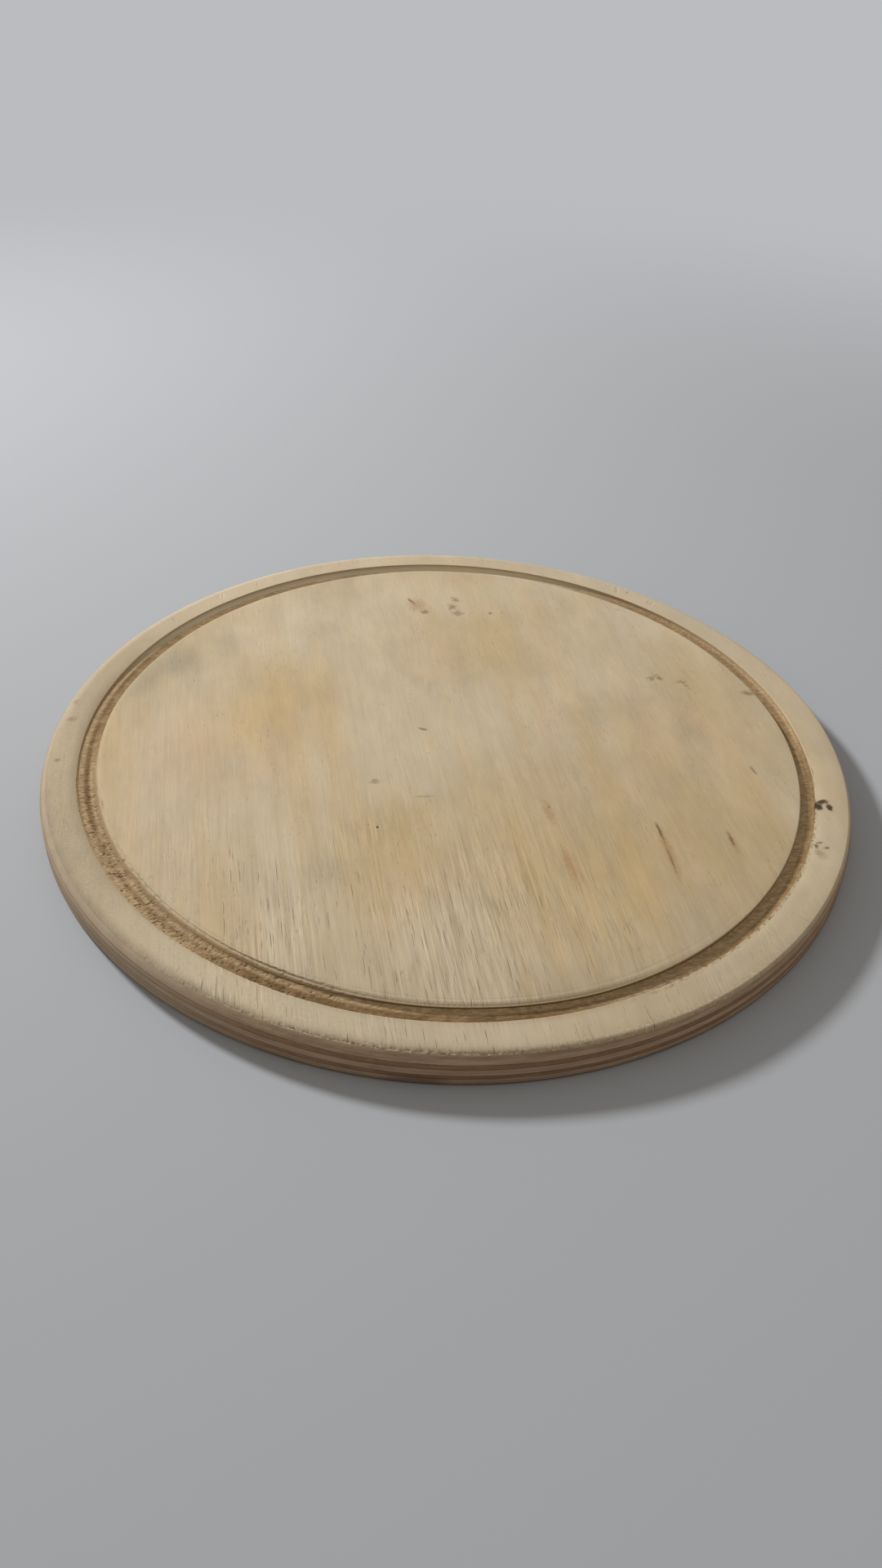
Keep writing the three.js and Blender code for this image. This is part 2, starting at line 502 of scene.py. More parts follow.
class Graph:
    """Adds nodes to a tree and joins them, so that a material reads from top to bottom."""

    def __init__(self, tree):
        self.tree = tree

    def add(self, kind, **settings):
        """A new node with its settings."""
        node = self.tree.nodes.new(kind)
        for name, value in settings.items():
            setattr(node, name, value)
        return node

    def feed(self, socket, given):
        """Joins another node's socket, or sets a plain value."""
        if isinstance(given, bpy.types.NodeSocket):
            self.tree.links.new(given, socket)
        elif socket.type == "RGBA" and len(given) == 3:
            socket.default_value = (*given, 1)
        else:
            socket.default_value = given

    def fill(self, node, *given):
        """Feeds a node's inputs in their order and gives its outputs."""
        for socket, value in zip(node.inputs, given):
            self.feed(socket, value)
        return node.outputs

    def math(self, operation, *given):
        """A number worked out from numbers."""
        return self.fill(self.add("ShaderNodeMath", operation=operation), *given)[0]

    def product(self, *given):
        """All the values multiplied together."""
        result = given[0]
        for value in given[1:]:
            result = self.math("MULTIPLY", result, value)
        return result

    def vector(self, operation, *given):
        """A vector worked out from vectors, or a number for a dot product or a length."""
        outputs = self.fill(self.add("ShaderNodeVectorMath", operation=operation), *given)
        return outputs["Value" if operation in ("DOT_PRODUCT", "LENGTH") else "Vector"]

    def split(self, place):
        """The X, Y and Z of a place."""
        return self.fill(self.add("ShaderNodeSeparateXYZ"), place)

    def around(self, place):
        """A place as seen from above, and its distance from the middle."""
        flat = self.vector("MULTIPLY", place, (1, 1, 0))
        return flat, self.vector("LENGTH", flat)

    def noise(self, place, stretch, detail=2.0, roughness=0.5, distortion=0.0):
        """Noise that repeats as often along each axis as the stretch says, to the metre."""
        node = self.add("ShaderNodeTexNoise")
        self.feed(node.inputs["Vector"], self.vector("MULTIPLY", place, stretch))
        settings = {"Scale": 1, "Detail": detail, "Roughness": roughness, "Distortion": distortion}
        for name, value in settings.items():
            node.inputs[name].default_value = value
        return node.outputs["Fac"]

    def ramp(self, value, low, high, to_low=0.0, to_high=1.0):
        """Smooth step from one value to another."""
        node = self.add("ShaderNodeMapRange", interpolation_type="SMOOTHSTEP", clamp=False)
        return self.fill(node, value, low, high, to_low, to_high)["Result"]

    def band(self, value, edges, to_low=0.0, to_high=1.0):
        """Smooth step across a band that is given in millimetres."""
        return self.ramp(value, edges[0] * MM, edges[1] * MM, to_low, to_high)

    def towards(self, flat, azimuth, full, none):
        """1 where a place lies within full degrees of an azimuth, falling to 0 at none degrees."""
        turned = math.radians(azimuth)
        direction = (math.cos(turned), math.sin(turned), 0)
        near = self.vector("DOT_PRODUCT", self.vector("NORMALIZE", flat), direction)
        return self.ramp(near, math.cos(math.radians(none)), math.cos(math.radians(full)))

    def mix(self, share, first, second, blend="MIX"):
        """Mixes two colours."""
        node = self.add("ShaderNodeMix", data_type="RGBA", blend_type=blend)
        self.feed(node.inputs["Factor"], share)
        self.feed(node.inputs[6], first)
        self.feed(node.inputs[7], second)
        return node.outputs[2]

    def shade(self, tone, level):
        """Makes a colour lighter or darker by a number."""
        grey = self.add("ShaderNodeCombineColor")
        for socket in grey.inputs:
            self.feed(socket, level)
        return self.mix(1.0, tone, grey.outputs["Color"], blend="MULTIPLY")

    def group(self, name, **given):
        """Places a shader group, its inputs given by name, and gives its outputs."""
        node = self.add("ShaderNodeGroup", node_tree=shader_group(name))
        for label, value in given.items():
            self.feed(node.inputs[label], value)
        return node.outputs


def fill_peeled_grain(graph, given, out):
    """Figure, streaks, fibres and pores of a peeled veneer whose grain runs along Y."""
    place = given["Place"]
    rings = graph.noise(place, (17, 3.6, 17), distortion=0.4)
    waves = graph.math("SINE", graph.product(rings, 30.0))
    graph.feed(out["Figure"], graph.math("MULTIPLY_ADD", waves, 0.5, 0.5))
    bands = graph.noise(place, (62, 6, 62), detail=3, roughness=0.55, distortion=0.3)
    graph.feed(out["Band"], bands)
    graph.feed(out["Streak"], graph.noise(place, (420, 9, 420), detail=4, roughness=0.62))
    graph.feed(out["Fibre"], graph.noise(place, (2100, 75, 2100), roughness=0.6))
    dashes = graph.noise(place, (2600, 330, 2600), detail=1)
    patches = graph.noise(place, (110, 40, 110))
    pores = graph.product(graph.ramp(dashes, 0.65, 0.74), graph.ramp(patches, 0.42, 0.68))
    graph.feed(out["Pore"], pores)


def fill_mark_spot(graph, given, out):
    """Mask of one ragged spot, streak or soft patch at a place on the face."""
    offset = graph.vector("SUBTRACT", given["Place"], given["Centre"])
    side = graph.vector("DOT_PRODUCT", offset, given["Across"])
    run = graph.vector("DOT_PRODUCT", offset, given["Along"])
    near = graph.math("SQRT", graph.math("MULTIPLY_ADD", side, side, graph.product(run, run)))
    near = graph.math("MULTIPLY_ADD", given["Shift"], given["Ragged"], near)
    graph.feed(out["Mask"], graph.ramp(near, 1.0, graph.math("SUBTRACT", 1.0, given["Soft"])))


def fill_groove_burn_and_shade(graph, given, out):
    """Masks of the groove's bare wood, of painted light on its far outer wall, of its browned parts with
    painted shade on the lit floor at the front, and of its burnt line.
    """
    place = given["Place"]
    height = graph.split(place)["Z"]
    flat, radius = graph.around(place)
    out_by = graph.math("SUBTRACT", radius, groove_radius())
    from_middle = graph.math("ABSOLUTE", out_by)
    half_width = groove_half_width_at(BOARD_TOP)
    within = graph.ramp(from_middle, half_width + 1.2 * MM, half_width + 0.4 * MM)
    drop = graph.math("SUBTRACT", BOARD_TOP, height)
    inside = graph.product(within, graph.band(drop, (0.3, 1.0)), graph.band(drop, (3.4, 3.0)))
    graph.feed(out["Bare"], inside)
    far = graph.towards(flat, 112, 34, 60)
    # Painted light: the far outer wall and floor, which lie in shadow, are made paler
    graph.feed(out["Painted light"], graph.product(inside, far, graph.band(out_by, (0.2, 1.2))))
    middle = graph.band(from_middle, (1.9, 0.3))
    from_floor = graph.math("ABSOLUTE", graph.math("SUBTRACT", out_by, 0.4 * MM))
    floor = graph.band(from_floor, (2.6, 1.4))
    # Browned parts of the groove; the first, at the front, is painted shade on the lit outer floor
    brown_parts = (
        (graph.towards(flat, 265, 16, 36), graph.band(out_by, (-2.0, -0.2))),
        (graph.towards(flat, 205, 24, 46), graph.math("MULTIPLY_ADD", middle, 0.5, 0.1)),
        (graph.towards(flat, 340, 16, 32), graph.band(out_by, (0.0, 1.8), 0.0, 0.85)),
        (graph.towards(flat, 38, 26, 46), graph.product(floor, 0.6)),
        (graph.towards(flat, 146, 34, 52), graph.band(out_by, (1.4, 0.4), 0.0, 0.85)),
        (graph.towards(flat, 178, 22, 40), middle),
        (graph.towards(flat, 220, 20, 36), graph.band(out_by, (-1.4, -2.4), 0.0, 0.45)),
        (graph.towards(flat, 300, 16, 30), graph.band(out_by, (0.6, 2.0), 0.0, 0.9)),
    )
    level = graph.product(*brown_parts[0])
    for masks in brown_parts[1:]:
        level = graph.math("MAXIMUM", level, graph.product(*masks))
    patchy = graph.ramp(graph.noise(place, (260, 260, 260), detail=3), 0.3, 0.6, 0.75)
    graph.feed(out["Brown and shade"], graph.product(inside, level, patchy))
    burnt = graph.towards(flat, 286, 28, 56)
    inner = graph.band(out_by, (-1.4, -2.2))
    veneer = BOARD_TOP - layer_heights("face_veneer_center")[0]
    line = graph.ramp(drop, veneer - 0.4 * MM, veneer - 0.1 * MM)
    line = graph.product(line, graph.ramp(drop, veneer + 0.35 * MM, veneer + 0.1 * MM))
    share = graph.math("MULTIPLY_ADD", burnt, 0.65, 0.05)
    graph.feed(out["Char"], graph.product(within, inner, line, share))


def fill_fine_checks(graph, given, out):
    """Masks of short checks, darkened with painted shade, and of bright slivers along Y, one of each at
    most to a cell.
    """
    place = graph.vector("MULTIPLY", given["Place"], given["Cells"])
    cells = graph.add("ShaderNodeTexVoronoi", voronoi_dimensions="2D", feature="F1")
    graph.feed(cells.inputs["Vector"], place)
    cells.inputs["Scale"].default_value = 1
    chance = graph.fill(graph.add("ShaderNodeSeparateColor"), cells.outputs["Color"])
    offset = graph.split(graph.vector("SUBTRACT", place, cells.outputs["Position"]))
    bend = graph.math("SUBTRACT", graph.noise(place, (0.7, 2.2, 0)), 0.5)
    side = graph.math("MULTIPLY_ADD", bend, 0.3, offset["X"])
    reach = graph.math("MULTIPLY_ADD", chance["Green"], 0.32, 0.14)
    run = graph.ramp(graph.math("ABSOLUTE", offset["Y"]), reach, graph.product(reach, 0.35))
    dark = graph.ramp(graph.math("ABSOLUTE", side), 0.075, 0.015)
    graph.feed(out["Dark"], graph.product(dark, run, graph.ramp(chance["Red"], 0.3, 0.8)))
    beside = graph.math("ABSOLUTE", graph.math("SUBTRACT", side, 0.13))
    bright = graph.ramp(beside, 0.09, 0.02)
    graph.feed(out["Bright"], graph.product(bright, run, graph.ramp(chance["Blue"], 0.3, 0.7)))


def fill_edge_grime_and_shade(graph, given, out):
    """Mask of the dirt on the rounded edge, thickest at the front left, where the board is held, and of
    painted shade with dirt on the lower part of the top round, left off at the right, where more light
    falls.
    """
    flat, radius = graph.around(given["Place"])
    held = graph.product(graph.towards(flat, 218, 18, 46), graph.band(radius, HELD_ROUND))
    # Painted shade with dirt: the lower part of the top round is darker, but not at the right, where
    # more light falls
    rubbed_and_shaded = graph.product(
        graph.band(graph.split(given["Place"])["Z"], (11.75, 9.4), 0.0, 0.55),
        graph.band(radius, ROUND_START),
        graph.math("SUBTRACT", 1.0, graph.towards(flat, 332, 26, 56)),
    )
    smear = graph.ramp(graph.noise(given["Place"], (150, 150, 150), detail=3), 0.3, 0.65, 0.6)
    darkening = graph.math("MAXIMUM", graph.product(held, 0.7), rubbed_and_shaded)
    graph.feed(out["Mask"], graph.product(darkening, smear))


# Each shader group: its inputs, its outputs, which are all masks or levels, and what fills it.
GROUPS = {
    "Peeled grain": (
        {"Place": "Vector"},
        ("Figure", "Band", "Streak", "Fibre", "Pore"),
        fill_peeled_grain,
    ),
    "Mark spot": (
        {
            "Place": "Vector",
            "Centre": "Vector",
            "Across": "Vector",
            "Along": "Vector",
            "Shift": "Float",
            "Ragged": "Float",
            "Soft": "Float",
        },
        ("Mask",),
        fill_mark_spot,
    ),
    "Groove burn and shade": ({"Place": "Vector"}, ("Bare", "Painted light", "Brown and shade", "Char"), fill_groove_burn_and_shade),
    "Fine checks": ({"Place": "Vector", "Cells": "Vector"}, ("Dark", "Bright"), fill_fine_checks),
    "Edge grime and shade": ({"Place": "Vector"}, ("Mask",), fill_edge_grime_and_shade),
}


def shader_group(name):
    """A shader group by its name, built when it is first needed."""
    tree = bpy.data.node_groups.get(name)
    if tree:
        return tree
    inputs, outputs, fill = GROUPS[name]
    tree = bpy.data.node_groups.new(name, "ShaderNodeTree")
    for label, kind in inputs.items():
        tree.interface.new_socket(name=label, in_out="INPUT", socket_type="NodeSocket" + kind)
    for label in outputs:
        tree.interface.new_socket(name=label, in_out="OUTPUT", socket_type="NodeSocketFloat")
    graph = Graph(tree)
    given = graph.add("NodeGroupInput").outputs
    fill(graph, given, graph.add("NodeGroupOutput").inputs)
    return tree


def new_material(name):
    """A material with its graph and its Principled node."""
    material = bpy.data.materials.new(name)
    material.use_nodes = True
    return material, Graph(material.node_tree), material.node_tree.nodes["Principled BSDF"]


def painted(name, paint, *given):
    """A material by its name, painted by a function when it is first needed."""
    material = bpy.data.materials.get(name)
    if material is None:
        material, graph, surface = new_material(name)
        paint(graph, surface, *given)
    return material


def set_surface(graph, surface, tone, roughness, specular):
    """Gives a Principled node its colour and its dull or slight sheen."""
    graph.feed(surface.inputs["Base Color"], tone)
    surface.inputs["Roughness"].default_value = roughness
    surface.inputs["Specular IOR Level"].default_value = specular


def grain_place(graph, extra_turn=0.0):
    """Object coordinates as they are, and turned so that the grain runs along Y."""
    coordinates = graph.add("ShaderNodeTexCoord").outputs["Object"]
    mapping = graph.add("ShaderNodeMapping", vector_type="TEXTURE")
    graph.feed(mapping.inputs["Vector"], coordinates)
    mapping.inputs["Rotation"].default_value = (0, 0, sizes().grain_turn + extra_turn)
    return coordinates, mapping.outputs["Vector"]


def cut_across(graph, direction):
    """How squarely the surface cuts the fibres, from 0 along them to 1 across them."""
    normal = graph.add("ShaderNodeNewGeometry").outputs["Normal"]
    return graph.math("ABSOLUTE", graph.vector("DOT_PRODUCT", normal, direction))


def add_bump(graph, surface, height):
    """Raises the wood's fibres a little."""
    bump = graph.add("ShaderNodeBump")
    bump.inputs["Strength"].default_value = 0.4
    bump.inputs["Distance"].default_value = 0.12 * MM
    graph.feed(bump.inputs["Height"], height)
    graph.feed(surface.inputs["Normal"], bump.outputs["Normal"])


def pit_mask(graph):
    """Painted shade in the piece's own pits and checks: how dark it is."""
    return graph.add("ShaderNodeAttribute", attribute_name="pit").outputs["Fac"]


# A stain or mark on the face: its colour and how strongly that shows, its middle, its half widths
# across and along, its turn from the face's grain, and how ragged and how soft its outline is.
# Places and widths are in millimetres, and turns in degrees.
Spot = namedtuple("Spot", "tone share x y across along turn ragged soft", defaults=(0, 0.9, 0.95))

# Stained and pale patches, under the figure of the grain
PATCHES = (
    Spot("pale", 0.70, -62, 72, 60, 44, ragged=0.7),
    Spot("rosy", 0.55, -98, -18, 34, 46),
    Spot("amber", 0.55, -67, 4, 34, 42),
    Spot("amber", 0.30, -50, -40, 10, 40),
    Spot("honey", 0.60, 66, -62, 62, 52),
    Spot("honey", 0.55, -12, -66, 44, 40),
    Spot("honey", 0.40, 20, 60, 40, 40),
    Spot("rosy", 0.45, 96, 8, 24, 26, ragged=1.0),
    Spot("rosy", 0.40, 0, -78, 30, 18, ragged=1.0),
    Spot("grey", 0.80, -121, 29, 8, 20, turn=-36, ragged=1.0),
    Spot("grey", 0.85, -112, 42, 13, 16, turn=-36, ragged=1.0),
    Spot("grey", 0.35, -94, 61, 14, 9, turn=20, ragged=1.6),
    Spot("grey", 0.25, -57, 74, 20, 11, ragged=1.6),
    Spot("grey", 0.25, 62, 26, 30, 16, ragged=1.8),
    Spot("grey", 0.22, 78, 12, 10, 7, turn=30, ragged=1.6),
    Spot("grey", 0.20, -40, -78, 16, 12, ragged=1.4),
    Spot("pale", 0.45, -8, 10, 20, 44),
    Spot("pale", 0.60, 10, 108, 80, 26),
    Spot("honey", 0.30, 88, -10, 40, 44),
    Spot("pale", 0.50, -78, 66, 30, 26),
    Spot("pale", 0.45, 58, 86, 40, 26),
    Spot("pale", 0.40, 106, -6, 24, 34),
    Spot("pale", 0.60, -56, -131, 26, 11, turn=12, ragged=0.6),
    Spot("pale", 0.55, -50, 134, 70, 14, turn=12, ragged=0.6),
)

# Marks and chips, over everything else
MARKS = (
    Spot("mark", 0.60, -20.4, 101.4, 1.2, 4.0, turn=22, ragged=1.2, soft=0.7),
    Spot("mark", 0.50, -14.0, 92.6, 2.6, 2.2, ragged=1.2, soft=0.7),
    Spot("rust", 0.40, -17.0, 98.0, 6.0, 8.0, ragged=1.4, soft=0.9),
    Spot("scorch_and_shade", 0.65, -0.5, 105.0, 2.4, 3.4, turn=20, ragged=2.4),
    Spot("scorch_and_shade", 0.65, -1.9, 98.2, 2.6, 4.0, turn=-20, ragged=2.4),
    Spot("scorch_and_shade", 0.60, 0.6, 93.2, 3.4, 3.2, ragged=2.4),
    Spot("mark", 0.45, 15.0, 94.6, 1.2, 1.8, ragged=0.8, soft=0.6),
    Spot("scorch_and_shade", 0.60, 81.6, 49.6, 2.8, 2.0, turn=30, ragged=2.0),
    Spot("scorch_and_shade", 0.65, 84.8, 51.0, 2.0, 4.0, turn=20, ragged=2.0),
    Spot("scorch_and_shade", 0.50, 93.6, 48.2, 3.4, 2.0, ragged=2.2),
    Spot("scorch_and_shade", 0.50, 95.8, 46.2, 2.0, 2.6, ragged=2.2),
    Spot("scorch_and_shade", 0.70, 120.6, 43.0, 4.2, 2.6, turn=-8, ragged=1.4),
    Spot("mark", 0.55, -10.1, 5.8, 2.6, 0.9, turn=-28, ragged=1.0, soft=0.7),
    Spot("scorch_and_shade", 0.50, -25.6, -27.8, 2.4, 2.4, turn=30, ragged=2.6),
    Spot("pale", 0.60, -8.0, -28.0, 6.0, 9.0, ragged=1.0, soft=0.9),
    Spot("grey", 0.80, -7.6, -34.6, 5.5, 0.9, turn=-4, ragged=1.0, soft=0.9),
    Spot("mark", 0.90, -22.9, -52.6, 0.6, 0.7, ragged=0.5, soft=0.5),
    Spot("mark", 0.50, -26.2, -51.4, 0.4, 0.5, ragged=0.5, soft=0.6),
    Spot("mark", 0.75, 75.4, -46.6, 0.8, 7.0, soft=0.8),
    Spot("pore_and_shade", 0.55, 77.8, -61.0, 0.6, 11.0, turn=-3, soft=0.8),
    Spot("rust", 0.45, 77.4, -57.0, 2.4, 20.0, turn=-2, soft=0.9),
    Spot("mark", 0.60, 100.0, -48.6, 0.9, 5.0, soft=0.8),
    Spot("rust", 0.35, 100.4, -50.6, 1.8, 9.0, soft=0.9),
    Spot("mark", 0.50, 114.3, -8.4, 0.8, 4.0, turn=6, soft=0.8),
    Spot("rust", 0.42, 37.0, -40.0, 2.6, 12.0, turn=6, ragged=1.2),
    Spot("pore_and_shade", 0.45, 36.9, -36.6, 0.7, 1.6, ragged=1.2, soft=0.8),
    Spot("rust", 0.42, 43.0, -66.0, 2.8, 15.0, turn=2, ragged=1.2),
    Spot("mark", 0.95, 134.6, -27.4, 2.0, 2.6, ragged=1.0, soft=0.5),
    Spot("mark", 0.90, 136.5, -24.8, 3.4, 1.7, turn=4, ragged=1.0, soft=0.6),
    Spot("mark", 0.90, 138.6, -27.8, 1.5, 2.6, ragged=1.0, soft=0.5),
    Spot("rust", 0.30, 137.0, -64.0, 5.0, 34.0, turn=-37, ragged=0.8),
    Spot("scorch_and_shade", 0.40, 129.8, -53.0, 2.8, 4.0, ragged=1.8),
    Spot("pore_and_shade", 0.75, 129.4, -49.4, 1.1, 1.9, ragged=1.2, soft=0.7),
    Spot("pore_and_shade", 0.60, 130.8, -47.4, 1.8, 0.9, ragged=1.2, soft=0.7),
    Spot("mark", 0.60, 132.8, -50.0, 1.7, 0.9, ragged=1.0, soft=0.7),
    Spot("scorch_and_shade", 0.55, -143.6, -0.6, 2.4, 2.2, ragged=1.8, soft=0.9),
    Spot("scorch_and_shade", 0.45, -145.2, 11.0, 1.8, 3.0, ragged=1.8, soft=0.9),
    Spot("scorch_and_shade", 0.55, -141.7, -25.8, 1.4, 1.6, ragged=1.4, soft=0.8),
)

# Slivers that stand up on the rim at the front left: x, y and half length
SLIVERS = (
    (-69.6, -126.0, 2.4),
    (-64.2, -121.6, 2.2),
    (-64.9, -130.4, 1.6),
    (-62.9, -130.9, 2.6),
    (-59.7, -132.0, 2.2),
    (-55.4, -126.0, 2.0),
    (-50.8, -130.3, 4.4),
)
MARKS += tuple(Spot("sliver_and_light", 0.60, x, y, 0.32, along, soft=0.8) for x, y, along in SLIVERS)


def add_spot(graph, coordinates, shift, tone, spot):
    """Lays one spot's colour over the tone so far, its outline moved in and out by the shift."""
    turn = sizes().grain_turn + math.radians(spot.turn)
    across, along = spot.across * MM, spot.along * MM
    mask = graph.group(
        "Mark spot",
        Place=coordinates,
        Centre=(spot.x * MM, spot.y * MM, BOARD_TOP),
        Across=(math.cos(turn) / across, math.sin(turn) / across, 0),
        Along=(-math.sin(turn) / along, math.cos(turn) / along, 0),
        Shift=shift,
        Ragged=spot.ragged,
        Soft=spot.soft,
    )["Mask"]
    return graph.mix(graph.product(mask, spot.share), tone, getattr(colours(), spot.tone))


def checked_part(graph, coordinates):
    """Mask of the part of the face that has opened into fine checks: the front, mostly its left."""
    place = graph.split(coordinates)
    front = graph.band(place["Y"], (-18, -88))
    middle = graph.product(
        graph.band(place["X"], (80, 15), 0.3),
        graph.band(place["X"], (-105, -45), 0.3),
    )
    patchy = graph.ramp(graph.noise(coordinates, (48, 30, 48)), 0.38, 0.62, 0.25)
    flat, radius = graph.around(coordinates)
    rim = graph.product(graph.towards(flat, 256, 45, 85), graph.band(radius, RIM_LAND))
    face = graph.product(front, middle, patchy)
    return graph.math("MAXIMUM", face, graph.product(rim, patchy, 0.8))


def frayed_edge(graph, coordinates):
    """Mask of the frayed fibres: the sanded-through edge at the front, and flecks on the left rim."""
    flat, radius = graph.around(coordinates)
    front = graph.product(graph.towards(flat, 268, 34, 60), graph.band(radius, FRAYED_ROUND), 0.6)
    left = graph.product(graph.towards(flat, 214, 36, 60), graph.band(radius, OUTER_RIM), 0.22)
    return graph.math("MAXIMUM", front, left)


def greyed_and_shaded_part(graph, coordinates):
    """Share of grey on the rim and towards the front of the face: greyed wood, and at the front right
    also painted shade where the lamp's light falls off.
    """
    flat, radius = graph.around(coordinates)
    # Painted shade with greyed wood: the face is greyer towards the front right, where the light falls
    # off
    front = graph.product(graph.towards(flat, 292, 22, 50), graph.band(radius, OUTER_FACE, 0.0, 0.22))
    left = graph.product(graph.towards(flat, 196, 20, 60), graph.band(radius, GROOVE_TO_RIM, 0.0, 0.32))
    both = graph.math("ADD", front, left)
    return graph.math("ADD", both, graph.band(radius, RIM, 0.0, 0.06))


def bleached_rim(graph, coordinates):
    """Share of bleached wood on the rim, at the front and at the right."""
    flat, radius = graph.around(coordinates)
    front = graph.product(graph.towards(flat, 256, 22, 44), 0.18)
    right = graph.product(graph.towards(flat, 324, 12, 26), 0.14)
    return graph.product(graph.math("MAXIMUM", front, right), graph.band(radius, BARE_RIM))


def brown_and_shade_groove(graph, coordinates, tone, bare, browned_and_shaded):
    """Lays the groove's bare wood, painted light on its far outer wall, browned wood with painted shade
    at the front, and its burnt line over the tone so far.
    """
    masks = graph.group("Groove burn and shade", Place=coordinates)
    tone = graph.mix(masks["Bare"], tone, bare)
    tone = graph.mix(masks["Painted light"], tone, colours().sliver_and_light)
    tone = graph.mix(masks["Brown and shade"], tone, browned_and_shaded)
    return graph.mix(masks["Char"], tone, colours().char)


def soil_and_shade_edge(graph, coordinates, tone, share):
    """Lays the grime of the handled edge, and the painted shade on its top round, over the tone so far.
    """
    grime_and_shade = graph.group("Edge grime and shade", Place=coordinates)["Mask"]
    return graph.mix(graph.product(grime_and_shade, share), tone, colours().grime_and_shade)


def paint_face(graph, surface):
    """Bare face veneer: pale and honey tones, figure, pores, checks, stains and the browned groove, with
    painted shade and painted light.
    """
    c = colours()
    coordinates, place = grain_place(graph)
    grain = graph.group("Peeled grain", Place=place)

    # Soft clouds of pale and honey wood, with stained patches
    cloud = graph.noise(place, (15, 9, 15), detail=3, roughness=0.55)
    tone = graph.mix(graph.ramp(cloud, 0.38, 0.72, 0.15, 0.65), c.pale, c.honey)
    drift = graph.noise(coordinates, (42, 42, 42), detail=4, roughness=0.6)
    drift = graph.math("SUBTRACT", drift, 0.5)
    for patch in PATCHES:
        tone = add_spot(graph, coordinates, drift, tone, patch)
    near = graph.band(graph.split(coordinates)["Y"], (70, -40), 0.4)
    blush = graph.noise(place, (41, 19, 41), detail=3, roughness=0.6)
    tone = graph.mix(graph.ramp(blush, 0.5, 0.72, 0.0, 0.35), tone, c.rosy)
    bands = graph.ramp(grain["Band"], 0.46, 0.68, 0.0, 0.45)
    tone = graph.mix(graph.product(bands, near), tone, c.amber)
    smoke = graph.noise(place, (34, 22, 34), detail=4, roughness=0.6)
    tone = graph.mix(graph.ramp(smoke, 0.55, 0.75, 0.0, 0.3), tone, c.grey)
    streaks = graph.ramp(grain["Streak"], 0.45, 0.8, 0.0, 0.5)
    tone = graph.mix(graph.product(streaks, near), tone, c.honey)

    # Mottle, fibres and pores of the grain
    mottle = graph.noise(place, (100, 34, 100), detail=4, roughness=0.65)
    mottle = graph.ramp(mottle, 0.3, 0.7, 0.91, 1.02)
    light = graph.math("MULTIPLY_ADD", grain["Figure"], 0.04, mottle)
    fibre = graph.math("MULTIPLY_ADD", grain["Fibre"], 0.24, 0.89)
    tone = graph.shade(tone, graph.product(light, fibre))
    tone = graph.mix(graph.product(grain["Pore"], 0.35), tone, c.pore_and_shade)

    # Fine checks, darkened with painted shade, and slivers where the face has opened
    opened = checked_part(graph, coordinates)
    comb = graph.noise(place, (1300, 38, 1300), roughness=0.6)
    combed = graph.math("SUBTRACT", graph.ramp(comb, 0.3, 0.7), 0.5)
    tone = graph.shade(tone, graph.math("MULTIPLY_ADD", graph.product(combed, opened), 0.34, 1.0))
    wide = graph.group("Fine checks", Place=place, Cells=(640, 62, 0))
    thin = graph.group("Fine checks", Place=place, Cells=(1000, 105, 0))
    dark = graph.math("MAXIMUM", wide["Dark"], graph.product(thin["Dark"], 0.8))
    bright = graph.math("MAXIMUM", wide["Bright"], graph.product(thin["Bright"], 0.8))
    tone = graph.mix(graph.product(bright, opened, 0.6), tone, c.sliver_and_light)
    # Painted shade in the fine checks
    tone = graph.mix(graph.product(dark, opened, 0.75), tone, c.pore_and_shade)

    # The rim, greyed and bleached by use, painted shade towards the front right, and end grain where the
    # edge cuts the fibres
    radius = graph.around(coordinates)[1]
    tone = graph.mix(graph.band(radius, RIM, 0.0, 0.4), tone, c.pale)
    tone = graph.mix(greyed_and_shaded_part(graph, coordinates), tone, c.ash_and_shade)
    tone = graph.mix(bleached_rim(graph, coordinates), tone, c.sliver_and_light)
    on_rim = graph.product(graph.band(radius, RIM_LAND), drift)
    tone = graph.shade(tone, graph.math("MULTIPLY_ADD", on_rim, 0.34, 1.0))
    squareness = graph.ramp(cut_across(graph, grain_directions()[1]), 0.3, 0.95)
    tone = graph.mix(graph.product(squareness, 0.8), tone, c.end_grain)

    # The groove's walls, with painted shade and light, the frayed edge, grime and painted shade on the
    # edge, marks, and painted shade in pits
    tone = brown_and_shade_groove(graph, coordinates, tone, c.groove, c.scorch_and_shade)
    fleck = graph.noise(coordinates, (1100, 1100, 1100), detail=3, roughness=0.6)
    frayed = frayed_edge(graph, coordinates)
    tone = graph.mix(graph.product(frayed, graph.ramp(fleck, 0.55, 0.7)), tone, c.sliver_and_light)
    tone = graph.mix(graph.product(frayed, graph.ramp(fleck, 0.45, 0.3), 0.6), tone, c.pore_and_shade)
    tone = soil_and_shade_edge(graph, coordinates, tone, 0.6)
    fray = graph.noise(coordinates, (650, 650, 650), detail=3, roughness=0.6)
    fray = graph.math("SUBTRACT", fray, 0.5)
    for mark in MARKS:
        tone = add_spot(graph, coordinates, fray, tone, mark)
    # Painted shade in pits, checks, scratches and tears
    tone = graph.mix(graph.product(pit_mask(graph), 0.8), tone, c.pore_and_shade)
    set_surface(graph, surface, tone, roughness=0.8, specular=0.15)
    relief = graph.math("SUBTRACT", grain["Fibre"], grain["Pore"])
    add_bump(graph, surface, graph.math("SUBTRACT", relief, graph.product(dark, opened, 1.5)))


